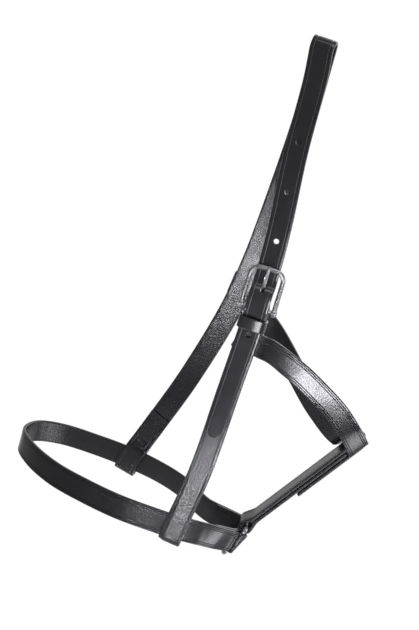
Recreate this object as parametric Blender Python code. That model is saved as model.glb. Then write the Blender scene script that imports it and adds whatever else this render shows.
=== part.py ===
"""Underhalter: a light leather headcollar, hanging buckled from its crown.

Frame: +Z is up, -Y is the near side with the buckle, -X is the nose.
The origin is the highest point inside the crown fold, where a peg or a poll holds it.
"""

import math

import bmesh
import bpy
from mathutils import Matrix, Vector

MM = 0.001

# Leather as it is cut
STRAP_WIDTH = 22.0 * MM
NOSEBAND_WIDTH = 24.0 * MM
LEATHER = 3.2 * MM
KEEPER_LEATHER = 2.2 * MM
EDGE_BEVEL = 0.5 * MM

# Clearances
SEAM_GAP = 0.3 * MM
LOOP_ROOM = 1.5 * MM
FOLD_ROOM = 0.5 * MM
PLY_ROOM = 0.6 * MM
KEEPER_ROOM = 0.5 * MM
PIVOT_GAP = 0.3 * MM

# Crown fold over its peg, and the lines that the two sides follow down from it:
# fore-and-aft, sideways and height of each point
CROWN_INNER_RADIUS = 6.0 * MM
NEAR_HEEL_BAR = Vector((17.7, -31.0, -250.5)) * MM
NEAR_CROSSING = Vector((8.0, -57.5, -480.0)) * MM
FAR_CROSSING = Vector((-79.5, 55.5, -484.0)) * MM
NEAR_UPPER_POINTS = [
    Vector((3.5, -10.5, -35.0)) * MM,
    Vector((7.0, -16.5, -100.0)) * MM,
    Vector((15.0, -24.5, -180.0)) * MM,
]
NEAR_LOWER_POINTS = [
    Vector((16.3, -39.5, -335.0)) * MM,
    Vector((14.5, -49.0, -418.0)) * MM,
]
FAR_POINTS = [
    Vector((0.0, 13.5, -70.0)) * MM,
    Vector((-4.0, 22.0, -145.0)) * MM,
    Vector((-11.0, 31.0, -230.0)) * MM,
    Vector((-19.7, 36.5, -285.0)) * MM,
    Vector((-42.4, 45.0, -372.0)) * MM,
    Vector((-65.0, 51.5, -440.0)) * MM,
]

# Billet, its holes, and the seams of the cheeks
BILLET_LENGTH = 132.0 * MM
BILLET_POINT = 18.0 * MM
HOLE_DIAMETER = 5.2 * MM
HOLE_SPACING = 47.0 * MM
HOLES_ABOVE_PRONG = 3
HOLES_BELOW_PRONG = 1
PULLED_HOLE_LENGTH = 8.4 * MM
CHAPE_LENGTH = 58.0 * MM
NEAR_TAIL_LENGTH = 78.0 * MM
FAR_TAIL_LENGTH = 74.0 * MM
SEAM_SPREAD = 12.0 * MM

# Keeper, below the buckle
KEEPER_WIDTH = 12.0 * MM
KEEPER_DROP = 15.0 * MM
KEEPER_CORNER = 3.0 * MM

# Buckle
BUCKLE_WIRE = 4.6 * MM
BUCKLE_SIDE_ROOM = 2.6 * MM
BUCKLE_HEIGHT = 40.0 * MM
BUCKLE_CORNER = 9.0 * MM
BUCKLE_LEAN = math.radians(7.0)
EYE_RADIUS = 3.9 * MM
BAR_DIAMETER = 4.0 * MM
BAR_END = 0.9 * MM
PRONG_WIDTH = 3.6 * MM
PRONG_THICKNESS = 2.2 * MM
PRONG_HOLE_RISE = 20.5 * MM
PRONG_TIP = 3.5 * MM
PRONG_SLOT_ROOM = 0.6 * MM

# Jaw ring, a rectangle of round wire
RING_WIRE = 4.4 * MM
RING_PLAY = 2.2 * MM
RING_SIDE_ROOM = 5.6 * MM
RING_CORNER = 4.5 * MM
RING_CENTRE = Vector((57.8, -1.5, -491.5)) * MM
RING_ACROSS = Vector((-0.22, 0.97, -0.06)).normalized()
RING_LEAN = math.radians(25.0)
RING_TAIL_LENGTH = 30.0 * MM

# Throat strap and jowl strap
THROAT_DROP = 35.5 * MM
THROAT_FAR_DROP = 262.0 * MM
THROAT_FAR_SLOPE = math.radians(22.0)
THROAT_FAR_OVERHANG = 5.5 * MM
THROAT_BOTTOM = Vector((144.5, -3.0, -356.0)) * MM
JOWL_ACROSS = Vector((-0.18, 0.98, 0.06)).normalized()
JOWL_BAR_ROOM = 1.9 * MM
JOWL_TAIL_LENGTH = 60.0 * MM
JOWL_LOOP_PLAY = 2.6 * MM
THROAT_SIDE_ROOM = 2.0 * MM
THROAT_CORNER = 4.0 * MM

TUBE_SIDES = 10
ARC_STEP = math.radians(22.5)
CHEEK_STEP = 14.0 * MM
NOSEBAND_STEP = 9.0 * MM
THROAT_STEP = 7.0 * MM
JOWL_STEP = 16.0 * MM

LEATHER_SMOOTH = ((0.012, 0.012, 0.015), 0.42, 0.0)
LEATHER_GRAIN = ((0.022, 0.021, 0.026), 0.5, 0.0)
NICKEL = ((0.62, 0.61, 0.60), 0.22, 1.0)


def start_empty():
    """Removes whatever the scene holds."""
    for item in list(bpy.data.objects):
        bpy.data.objects.remove(item, do_unlink=True)


def material(name, look):
    """A plain Principled material of one colour."""
    colour, roughness, metallic = look
    made = bpy.data.materials.new(name)
    made.use_nodes = True
    shader = made.node_tree.nodes["Principled BSDF"]
    shader.inputs["Base Color"].default_value = (*colour, 1.0)
    shader.inputs["Roughness"].default_value = roughness
    shader.inputs["Metallic"].default_value = metallic
    made.diffuse_color = (*colour, 1.0)
    return made


def finish_object(name, mesh_bm, look, origin=None):
    """Turns a bmesh into a smooth-shaded object whose origin is at the given point."""
    bmesh.ops.recalc_face_normals(mesh_bm, faces=mesh_bm.faces)
    mesh = bpy.data.meshes.new(name)
    mesh_bm.to_mesh(mesh)
    mesh_bm.free()
    if origin is not None:
        mesh.transform(Matrix.Translation(-origin))
    mesh.shade_smooth()
    mesh.set_sharp_from_angle(angle=math.radians(40.0))
    made = bpy.data.objects.new(name, mesh)
    if origin is not None:
        made.location = origin
    bpy.context.scene.collection.objects.link(made)
    mesh.materials.append(material(name + "_finish", look))
    return made


def smooth_curve(points, step):
    """Points of a centripetal Catmull-Rom curve, about one step apart."""
    ends = [points[0] * 2.0 - points[1]] + list(points) + [points[-1] * 2.0 - points[-2]]
    curve = []
    for index in range(1, len(ends) - 2):
        p0, p1, p2, p3 = ends[index - 1 : index + 3]
        t0 = 0.0
        t1 = t0 + math.sqrt((p1 - p0).length)
        t2 = t1 + math.sqrt((p2 - p1).length)
        t3 = t2 + math.sqrt((p3 - p2).length)
        count = max(2, round((p2 - p1).length / step))
        for number in range(count):
            t = t1 + (t2 - t1) * number / count
            a1 = p0 * ((t1 - t) / (t1 - t0)) + p1 * ((t - t0) / (t1 - t0))
            a2 = p1 * ((t2 - t) / (t2 - t1)) + p2 * ((t - t1) / (t2 - t1))
            a3 = p2 * ((t3 - t) / (t3 - t2)) + p3 * ((t - t2) / (t3 - t2))
            b1 = a1 * ((t2 - t) / (t2 - t0)) + a2 * ((t - t0) / (t2 - t0))
            b2 = a2 * ((t3 - t) / (t3 - t1)) + a3 * ((t - t1) / (t3 - t1))
            curve.append(b1 * ((t2 - t) / (t2 - t1)) + b2 * ((t - t1) / (t2 - t1)))
    curve.append(points[-1].copy())
    return curve


def arc(centre, radius, start, end):
    """Points (along, out) of an arc in a strap's own plane, both ends included."""
    count = max(2, round(abs(end - start) / ARC_STEP))
    points = []
    for number in range(count + 1):
        angle = start + (end - start) * number / count
        points.append((centre[0] + radius * math.cos(angle), centre[1] + radius * math.sin(angle)))
    return points


def fold(radius, straight, spread, half_gap, tail):
    """Side view (along, out) of a strap folded round something at (0, 0).

    It starts at the tail's end on the inner side, runs to the fold, turns behind
    it and leaves on the outer side, where the two plies meet at the spread.
    """
    points = [(tail, -half_gap), (spread, -half_gap)]
    if straight > 0.0:
        points.append((straight, -radius))
    points += arc((0.0, 0.0), radius, math.radians(-90.0), math.radians(-270.0))
    if straight > 0.0:
        points.append((straight, radius))
    points.append((spread, half_gap))
    return points


class Course:
    """A line that a strap follows, with a frame at every length along it."""

    def __init__(self, points, acrosses, sign, oblique=False):
        self.points = smooth_curve(points, 4.0 * MM)
        self.lengths = [0.0]
        for before, after in zip(self.points, self.points[1:]):
            self.lengths.append(self.lengths[-1] + (after - before).length)
        self.marks = [(self.length_at(points[index]), across) for index, across in acrosses]
        self.sign = sign
        self.oblique = oblique

    def length_at(self, target):
        """Length from the start to the point of the course nearest the target."""
        nearest = min(range(len(self.points)), key=lambda index: (self.points[index] - target).length)
        return self.lengths[nearest]

    def across_at(self, length):
        """Direction across, blended between the marked points."""
        last = len(self.marks) - 2
        index = 0
        while index < last and self.marks[index + 1][0] < length:
            index += 1
        (start, first), (end, second) = self.marks[index : index + 2]
        share = min(max((length - start) / (end - start), 0.0), 1.0)
        return first.lerp(second, share).normalized()

    def frame(self, length):
        """Point, direction down the course, directions across and outward at a length."""
        last = len(self.points) - 2
        inside = min(max(length, 0.0), self.lengths[-1])
        index = 0
        while index < last and self.lengths[index + 1] < inside:
            index += 1
        share = (inside - self.lengths[index]) / (self.lengths[index + 1] - self.lengths[index])
        before = self.points[max(index - 1, 0)]
        after = self.points[min(index + 2, last + 1)]
        here = self.points[index + 1] - self.points[index]
        down = ((after - before).normalized() + here.normalized()).normalized()
        across = self.across_at(length)
        square = (down - across * down.dot(across)).normalized()
        out = across.cross(square) * self.sign
        # Past its ends the strap lies square to the bar that it is folded round
        point = self.points[index].lerp(self.points[index + 1], share) + square * (length - inside)
        if not self.oblique:
            across = down.cross(out) * self.sign
        return point, down, across, out

    def place(self, length, out_distance):
        """Station (point, across) at a length, moved outward by a distance."""
        point, down, across, out = self.frame(length)
        return point + out * out_distance, across


def strip(stations, thickness, bevel, closed=False):
    """Solid of a strap: a bevelled rectangle swept along its stations.

    A station holds its centre point, its direction across, and the half widths
    on the negative and positive side of that direction.
    """
    made = bmesh.new()
    rings = []
    count = len(stations)
    for index, (point, across, left, right) in enumerate(stations):
        before = stations[index - 1][0] if index > 0 or closed else None
        after = stations[(index + 1) % count][0] if index < count - 1 or closed else None
        step_in = (point - before).normalized() if before is not None else None
        step_out = (after - point).normalized() if after is not None else None
        if step_in is None:
            step_in = step_out
        if step_out is None:
            step_out = step_in
        tangent = (step_in + step_out).normalized()
        side = across.normalized()
        normal = tangent.cross(side).normalized()
        half = thickness / 2.0 / max(tangent.dot(step_out), 0.5)
        reach = 1.0 / tangent.cross(side).length
        left, right = left * reach, right * reach
        outline = [
            (-left, -half + bevel),
            (-left + bevel, -half),
            (right - bevel, -half),
            (right, -half + bevel),
            (right, half - bevel),
            (right - bevel, half),
            (-left + bevel, half),
            (-left, half - bevel),
        ]
        rings.append([made.verts.new(point + side * a + normal * b) for a, b in outline])
    skin_rings(made, rings, closed)
    return made


def skin_rings(made, rings, closed):
    """Faces between neighbouring rings, with caps unless the sweep is closed."""
    count = len(rings)
    sides = len(rings[0])
    for index in range(count if closed else count - 1):
        here = rings[index]
        there = rings[(index + 1) % count]
        for side in range(sides):
            other = (side + 1) % sides
            made.faces.new((here[side], here[other], there[other], there[side]))
    if not closed:
        made.faces.new(rings[0])
        made.faces.new(list(reversed(rings[-1])))


def tube(points, radius, across, closed=False):
    """Solid of round wire along points that lie in one plane square to across."""
    made = bmesh.new()
    rings = []
    count = len(points)
    for index, point in enumerate(points):
        before = points[index - 1] if index > 0 or closed else point
        after = points[(index + 1) % count] if index < count - 1 or closed else point
        tangent = (after - before).normalized()
        side = tangent.cross(across).normalized()
        ring = []
        for number in range(TUBE_SIDES):
            angle = math.tau * (number + 0.5) / TUBE_SIDES
            ring.append(made.verts.new(point + side * radius * math.cos(angle) + across * radius * math.sin(angle)))
        rings.append(ring)
    skin_rings(made, rings, closed)
    return made


def cylinder(start, end, radius, sides=16):
    """Solid cylinder between two points."""
    made = bmesh.new()
    axis = end - start
    turn = axis.to_track_quat("Z", "Y").to_matrix().to_4x4()
    place = Matrix.Translation((start + end) / 2.0) @ turn
    bmesh.ops.create_cone(
        made, cap_ends=True, segments=sides, radius1=radius, radius2=radius, depth=axis.length, matrix=place
    )
    return made


def cutter(name, mesh_bm):
    """Object that only cuts: hidden from renders and drawn as wire."""
    bmesh.ops.recalc_face_normals(mesh_bm, faces=mesh_bm.faces)
    mesh = bpy.data.meshes.new(name)
    mesh_bm.to_mesh(mesh)
    mesh_bm.free()
    made = bpy.data.objects.new(name, mesh)
    bpy.context.scene.collection.objects.link(made)
    made.hide_render = True
    made.display_type = "WIRE"
    return made


def boolean(target, tool, operation):
    """Exact Boolean on a target."""
    modifier = target.modifiers.new(tool.name, "BOOLEAN")
    modifier.operation = operation
    modifier.solver = "EXACT"
    modifier.object = tool


def full_width(stations, width):
    """Adds equal half widths to (point, across) stations."""
    return [(point, across, width / 2.0, width / 2.0) for point, across in stations]


def resample(profile, step):
    """Fills long runs of a side view (along, out) with points about one step apart."""
    filled = [profile[0]]
    for before, after in zip(profile, profile[1:]):
        run = math.dist(before, after)
        count = max(1, round(run / step))
        for number in range(1, count + 1):
            share = number / count
            filled.append(tuple(a + (b - a) * share for a, b in zip(before, after)))
    return filled


# Noseband plan, from the near end of the ring round the nose to the far end.
# Each entry is a point and how far the upper edge leans to the far side.
NOSEBAND_NEAR_POINTS = [
    (Vector((30.0, -50.5, -480.5)) * MM, 8.0),
]
NOSEBAND_FRONT_POINTS = [
    (Vector((-14.0, -60.0, -480.3)) * MM, 8.0),
    (Vector((-50.0, -63.5, -479.8)) * MM, 9.0),
    (Vector((-88.0, -60.0, -479.2)) * MM, 9.0),
    (Vector((-125.0, -50.0, -479.4)) * MM, 8.0),
    (Vector((-161.0, -26.5, -480.2)) * MM, 4.0),
    (Vector((-181.5, 2.0, -481.7)) * MM, 0.0),
    (Vector((-177.5, 29.0, -482.3)) * MM, -4.0),
    (Vector((-155.0, 46.0, -483.0)) * MM, -7.0),
    (Vector((-118.0, 54.5, -484.0)) * MM, -8.0),
]
NOSEBAND_FAR_POINTS = [
    (Vector((-45.0, 51.0, -484.5)) * MM, -8.0),
    (Vector((-16.0, 43.0, -486.5)) * MM, -6.0),
    (Vector((16.0, 31.5, -494.0)) * MM, -3.0),
]

# Throat strap between its ends: centre points and directions across, upward
THROAT_NEAR_POINTS = [
    (Vector((44.0, -29.5, -290.0)) * MM, Vector((0.16, 0.12, 0.98))),
    (Vector((70.0, -28.0, -297.5)) * MM, Vector((0.32, 0.24, 0.92))),
    (Vector((95.0, -24.5, -310.0)) * MM, Vector((0.42, 0.26, 0.87))),
    (Vector((118.0, -20.5, -324.5)) * MM, Vector((0.56, 0.16, 0.81))),
    (Vector((133.5, -18.5, -338.0)) * MM, Vector((0.60, 0.05, 0.80))),
]
THROAT_FAR_POINTS = [
    (Vector((124.0, 14.0, -357.0)) * MM, Vector((0.52, 0.0, 0.85))),
    (Vector((96.0, 18.0, -345.0)) * MM, Vector((0.56, 0.0, 0.83))),
    (Vector((63.0, 25.0, -319.0)) * MM, Vector((0.58, -0.05, 0.81))),
    (Vector((24.0, 35.0, -288.0)) * MM, Vector((0.48, -0.10, 0.87))),
]


def leaned(angle):
    """Upward direction that leans to the far side by an angle in degrees."""
    return Vector((0.0, math.sin(math.radians(angle)), math.cos(math.radians(angle))))


class Layout:
    """The lines and frames that several pieces share."""

    def __init__(self):
        crown_radius = CROWN_INNER_RADIUS + LEATHER / 2.0
        near_top = Vector((0.0, -crown_radius, -CROWN_INNER_RADIUS))
        far_top = Vector((0.0, crown_radius, -CROWN_INNER_RADIUS))
        across = Vector((1.0, 0.0, 0.0))
        near_tangent = (NOSEBAND_NEAR_POINTS[-1][0] - NOSEBAND_FRONT_POINTS[0][0]).normalized()
        far_tangent = (NOSEBAND_FAR_POINTS[0][0] - NOSEBAND_FRONT_POINTS[-1][0]).normalized()
        near_end = NEAR_CROSSING + (NEAR_CROSSING - NEAR_LOWER_POINTS[-1]).normalized() * NOSEBAND_WIDTH
        far_end = FAR_CROSSING + Vector((-0.17, 0.08, -0.98)) * NOSEBAND_WIDTH
        near_points = [near_top, *NEAR_UPPER_POINTS, NEAR_HEEL_BAR, *NEAR_LOWER_POINTS, NEAR_CROSSING, near_end]
        far_points = [far_top, *FAR_POINTS, FAR_CROSSING, far_end]
        self.crown_radius = crown_radius
        self.near = Course(near_points, [(0, across), (len(near_points) - 1, near_tangent)], -1.0)
        self.far = Course(far_points, [(0, across), (len(far_points) - 1, far_tangent)], 1.0)
        self.heel = self.near.length_at(NEAR_HEEL_BAR)
        self.near_band = self.near.length_at(NEAR_CROSSING)
        self.far_band = self.far.length_at(FAR_CROSSING)

        self.ply = (LEATHER + SEAM_GAP) / 2.0
        self.billet_out = self.ply + LEATHER + SEAM_GAP
        self.chape_radius = BAR_DIAMETER / 2.0 + FOLD_ROOM + LEATHER / 2.0
        self.billet_over_bar = self.chape_radius + LEATHER + SEAM_GAP
        self.band_radius = LEATHER + LOOP_ROOM
        # The noseband's lower edge sits a little way down in the round of each loop
        self.loop_drop = NOSEBAND_WIDTH / 2.0 - LEATHER / 4.0
        self.loop_straight = NOSEBAND_WIDTH + 2.0 * LOOP_ROOM

        point, down, side, out = self.near.frame(self.heel)
        lean = Matrix.Rotation(BUCKLE_LEAN, 3, down.cross(out))
        self.heel_point = point
        self.heel_up = -down
        self.heel_out = out
        self.heel_across = side
        self.frame_up = lean @ self.heel_up
        if self.frame_up.dot(out) < 0.0:
            self.frame_up = lean.inverted() @ self.heel_up
        self.top_bar_out = math.sin(BUCKLE_LEAN) * BUCKLE_HEIGHT
        self.top_bar_rise = math.cos(BUCKLE_LEAN) * BUCKLE_HEIGHT

        self.ring_across = RING_ACROSS
        upward = Vector((math.sin(RING_LEAN), 0.0, math.cos(RING_LEAN)))
        self.ring_up = (upward - RING_ACROSS * upward.dot(RING_ACROSS)).normalized()
        self.ring_half_width = STRAP_WIDTH / 2.0 + RING_SIDE_ROOM + RING_WIRE / 2.0
        band_on_bar = NOSEBAND_WIDTH / math.cos(RING_LEAN)
        self.ring_half_height = (band_on_bar + RING_PLAY) / 2.0 + SEAM_GAP + RING_WIRE / 2.0
        self.ring_fold = RING_WIRE / 2.0 + FOLD_ROOM + LEATHER / 2.0
        self.ring_band = RING_CENTRE + self.ring_up * (RING_PLAY / 2.0)
        self.ring_top = RING_CENTRE + self.ring_up * self.ring_half_height

        # The jowl strap's middle ply meets the throat strap's edge, its outer plies
        # pass over it, and the ring's bar lies between the middle and the upper ply
        self.jowl_pitch = LEATHER + PLY_ROOM
        run = THROAT_BOTTOM - self.ring_top
        self.jowl_fold = RING_WIRE / 2.0 + JOWL_BAR_ROOM + LEATHER / 2.0
        self.throat_bottom = THROAT_BOTTOM - JOWL_ACROSS * run.dot(JOWL_ACROSS)
        run = self.throat_bottom - self.ring_top
        turn = -math.asin(self.jowl_pitch / 2.0 / run.length)
        self.jowl_along = Matrix.Rotation(turn, 3, JOWL_ACROSS) @ run.normalized()
        self.jowl_out = JOWL_ACROSS.cross(self.jowl_along).normalized()
        self.jowl_length = run.dot(self.jowl_along)
        self.jowl_root = self.throat_bottom - self.jowl_along * self.jowl_length
        self.jowl_bar_out = (self.ring_top - self.jowl_root).dot(self.jowl_out)


def crown_strap(lay):
    """The long strap: billet, crown fold, far cheek and its loop round the noseband."""
    behind_bar = lay.top_bar_out - BUCKLE_WIRE / 2.0 - PLY_ROOM - LEATHER / 2.0
    over_bar = lay.billet_over_bar
    middle = (behind_bar + over_bar) / 2.0
    rise = PRONG_HOLE_RISE
    step = 4.5 * MM
    seat = KEEPER_DROP - KEEPER_WIDTH / 2.0
    side_view = [
        (-BILLET_LENGTH, lay.billet_out),
        (-seat, lay.billet_out),
        (-seat * 0.25, over_bar),
        (rise - 2.0 * step, over_bar),
        (rise - step, over_bar - 0.08 * (over_bar - behind_bar)),
        (rise - step * 0.4, middle + 0.32 * (over_bar - behind_bar)),
        (rise + step * 0.4, middle - 0.32 * (over_bar - behind_bar)),
        (rise + step, behind_bar + 0.08 * (over_bar - behind_bar)),
        (rise + 2.0 * step, behind_bar),
        (lay.top_bar_rise + BUCKLE_WIRE, behind_bar),
        (lay.top_bar_rise + 5.0 * BUCKLE_WIRE, 0.0),
        (lay.heel, 0.0),
    ]
    stations = []
    for along, out in resample(side_view, CHEEK_STEP):
        point, across = lay.near.place(lay.heel - along, out)
        stations.append((point, across, STRAP_WIDTH / 2.0, STRAP_WIDTH / 2.0))

    # The blunt point of the billet: distances from its end, and the shares of the half widths
    tip_cuts = [(0.0, 0.33, 0.14), (BILLET_POINT * 0.42, 0.98, 0.70), (BILLET_POINT, 1.0, 1.0)]
    tip = []
    for rise_from_tip, left, right in tip_cuts:
        point, across = lay.near.place(lay.heel + BILLET_LENGTH - rise_from_tip, lay.billet_out)
        tip.append((point, across, left * STRAP_WIDTH / 2.0, right * STRAP_WIDTH / 2.0))
    stations = tip + [s for s in stations if (s[0] - tip[0][0]).length > BILLET_POINT * 1.3]

    across = Vector((1.0, 0.0, 0.0))
    steps = 8
    for number in range(1, steps):
        angle = math.pi * number / steps
        y = -lay.crown_radius * math.cos(angle)
        z = lay.crown_radius * math.sin(angle) - CROWN_INNER_RADIUS
        stations.append((Vector((0.0, y, z)), across, STRAP_WIDTH / 2.0, STRAP_WIDTH / 2.0))

    bottom = lay.far_band + lay.loop_drop
    straight = lay.loop_straight
    loop = fold(lay.band_radius, straight, straight + SEAM_SPREAD, lay.ply, FAR_TAIL_LENGTH)
    loop = [(bottom - along, out) for along, out in reversed(loop)]
    far_view = [(0.0, 0.0), (THROAT_FAR_DROP - STRAP_WIDTH, 0.0), (bottom - FAR_TAIL_LENGTH, lay.ply), *loop]
    for length, out in resample(far_view, CHEEK_STEP):
        point, across = lay.far.place(length, out)
        stations.append((point, across, STRAP_WIDTH / 2.0, STRAP_WIDTH / 2.0))
    body = finish_object("crown_strap", strip(stations, LEATHER, EDGE_BEVEL), LEATHER_SMOOTH)
    cut_holes(lay, body, stations)
    return body


def cut_holes(lay, body, stations):
    """Punches the row of holes at equal spacing along the billet's own length."""
    points = [station[0] for station in stations]
    lengths = [0.0]
    for before, after in zip(points, points[1:]):
        lengths.append(lengths[-1] + (after - before).length)
    prong_height = lay.near.place(lay.heel - PRONG_HOLE_RISE, 0.0)[0].z
    step = next(index for index, point in enumerate(points) if point.z > prong_height) - 1
    share = (prong_height - points[step].z) / (points[step + 1].z - points[step].z)
    prong_length = lengths[step] + share * (lengths[step + 1] - lengths[step])
    punches = bmesh.new()
    for number in range(-HOLES_BELOW_PRONG, HOLES_ABOVE_PRONG + 1):
        target = prong_length + number * HOLE_SPACING
        step = max(index for index in range(len(lengths) - 1) if lengths[index] <= target)
        share = (target - lengths[step]) / (lengths[step + 1] - lengths[step])
        centre = points[step].lerp(points[step + 1], share)
        along = (points[step + 1] - points[step]).normalized()
        across = stations[step][1]
        out = along.cross(across).normalized()
        stretch = PULLED_HOLE_LENGTH - HOLE_DIAMETER if number == 0 else 0.0
        add_punch(punches, centre, along, out.cross(along), out, stretch)
    boolean(body, cutter("hole_punches", punches), "DIFFERENCE")


def add_punch(made, centre, along, across, out, stretch):
    """Adds one punch to a bmesh: a cylinder, or a slot where the hole is pulled long."""
    sides = 16
    reach = LEATHER
    radius = HOLE_DIAMETER / 2.0
    lower = []
    upper = []
    for number in range(sides):
        angle = math.tau * (number + 0.5) / sides
        shift = math.copysign(stretch / 2.0, math.cos(angle))
        place = centre + along * (radius * math.cos(angle) + shift) + across * radius * math.sin(angle)
        lower.append(made.verts.new(place - out * reach))
        upper.append(made.verts.new(place + out * reach))
    for number in range(sides):
        other = (number + 1) % sides
        made.faces.new((lower[number], lower[other], upper[other], upper[number]))
    made.faces.new(list(reversed(lower)))
    made.faces.new(upper)


def near_cheek(lay):
    """The near cheek: chape round the heel bar, seam, and loop round the noseband."""
    spread = KEEPER_DROP - KEEPER_WIDTH / 2.0 - SEAM_GAP
    chape = fold(lay.chape_radius, 0.0, spread, lay.ply, CHAPE_LENGTH)
    chape = [(lay.heel + along, out) for along, out in chape]
    bottom = lay.near_band + lay.loop_drop
    straight = lay.loop_straight
    loop = fold(lay.band_radius, straight, straight + SEAM_SPREAD, lay.ply, NEAR_TAIL_LENGTH)
    loop = [(bottom - along, out) for along, out in reversed(loop)]
    stations = []
    for length, out in resample(chape + loop, CHEEK_STEP):
        stations.append(lay.near.place(length, out))
    body = finish_object(
        "near_cheek", strip(full_width(stations, STRAP_WIDTH), LEATHER, EDGE_BEVEL), LEATHER_GRAIN
    )
    slot = bmesh.new()
    bmesh.ops.create_cube(slot, size=1.0)
    half_turn = spread + BAR_DIAMETER
    size = Vector((PRONG_WIDTH + 2.0 * PRONG_SLOT_ROOM, 2.0 * half_turn, 2.0 * (lay.chape_radius + LEATHER)))
    turn = Matrix((lay.heel_across, lay.heel_up, lay.heel_across.cross(lay.heel_up))).transposed()
    place = Matrix.Translation(lay.heel_point + lay.heel_up * BAR_DIAMETER / 2.0) @ turn.to_4x4()
    bmesh.ops.transform(slot, matrix=place @ Matrix.Diagonal((*size, 1.0)), verts=slot.verts)
    boolean(body, cutter("prong_slot", slot), "DIFFERENCE")
    return body


def keeper(lay):
    """The keeper: a band round the billet and both plies of the cheek."""
    half = STRAP_WIDTH / 2.0 + KEEPER_ROOM + KEEPER_LEATHER / 2.0
    inner = -(lay.ply + LEATHER / 2.0 + KEEPER_ROOM + KEEPER_LEATHER / 2.0)
    outer = lay.billet_out + LEATHER / 2.0 + KEEPER_ROOM + KEEPER_LEATHER / 2.0
    corner = KEEPER_CORNER
    outline = []
    corners = [
        (half - corner, outer - corner, 0.0),
        (-half + corner, outer - corner, 90.0),
        (-half + corner, inner + corner, 180.0),
        (half - corner, inner + corner, 270.0),
    ]
    for side, out, start in corners:
        outline += arc((side, out), corner, math.radians(start), math.radians(start + 90.0))
    point, down, across, out = lay.near.frame(lay.heel + KEEPER_DROP)
    stations = [(point + across * a + out * b, down) for a, b in outline]
    bevel = min(EDGE_BEVEL, KEEPER_LEATHER / 4.0)
    made = strip(full_width(stations, KEEPER_WIDTH), KEEPER_LEATHER, bevel, closed=True)
    return finish_object("keeper", made, LEATHER_SMOOTH)


def noseband(lay):
    """The noseband: one strap whose two ends are sewn round the ring's side bars."""
    near_up = -lay.near.frame(lay.near_band)[1]
    far_up = -lay.far.frame(lay.far_band)[1]
    near_bar = lay.ring_band - lay.ring_across * lay.ring_half_width
    far_bar = lay.ring_band + lay.ring_across * lay.ring_half_width
    knots = [(near_bar, lay.ring_up)]
    knots += [(point, leaned(angle)) for point, angle in NOSEBAND_NEAR_POINTS]
    knots.append((NEAR_CROSSING, Vector((0.0, near_up.y, near_up.z))))
    knots += [(point, leaned(angle)) for point, angle in NOSEBAND_FRONT_POINTS]
    knots.append((FAR_CROSSING, Vector((0.0, far_up.y, far_up.z))))
    knots += [(point, leaned(angle)) for point, angle in NOSEBAND_FAR_POINTS]
    knots.append((far_bar, lay.ring_up))
    points = [point for point, across in knots]
    acrosses = [(index, across.normalized()) for index, (point, across) in enumerate(knots)]
    course = Course(points, acrosses, 1.0, oblique=True)

    total = course.lengths[-1]
    end = fold(lay.ring_fold, 0.0, lay.ring_fold * 2.2, lay.ply, RING_TAIL_LENGTH)
    end.append((RING_TAIL_LENGTH * 0.75, lay.ply))
    view = end + [(RING_TAIL_LENGTH * 1.3, 0.0), (total - RING_TAIL_LENGTH * 1.3, 0.0)]
    view += [(total - along, out) for along, out in reversed(end)]
    stations = [course.place(along, out) for along, out in resample(view, NOSEBAND_STEP)]
    made = strip(full_width(stations, NOSEBAND_WIDTH), LEATHER, EDGE_BEVEL)
    return finish_object("noseband", made, LEATHER_GRAIN)


def blend_path(head, free, tail, step):
    """A smooth run through free stations, joined to fixed stations at both ends."""
    knots = [head[-1], *free, tail[0]]
    points = [head[-2][0]] + [point for point, across in knots] + [tail[1][0]]
    curve = smooth_curve(points, step)
    start = min(range(len(curve)), key=lambda index: (curve[index] - knots[0][0]).length)
    end = min(range(len(curve)), key=lambda index: (curve[index] - knots[-1][0]).length)
    marks = []
    for point, across in knots:
        marks.append(min(range(len(curve)), key=lambda index, p=point: (curve[index] - p).length))
    stations = []
    for index in range(start + 1, end):
        knot = max(number for number in range(len(marks)) if marks[number] <= index)
        knot = min(knot, len(marks) - 2)
        share = (index - marks[knot]) / (marks[knot + 1] - marks[knot])
        across = knots[knot][1].normalized().lerp(knots[knot + 1][1].normalized(), share)
        stations.append((curve[index], across.normalized()))
    return list(head) + stations + list(tail)


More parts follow.
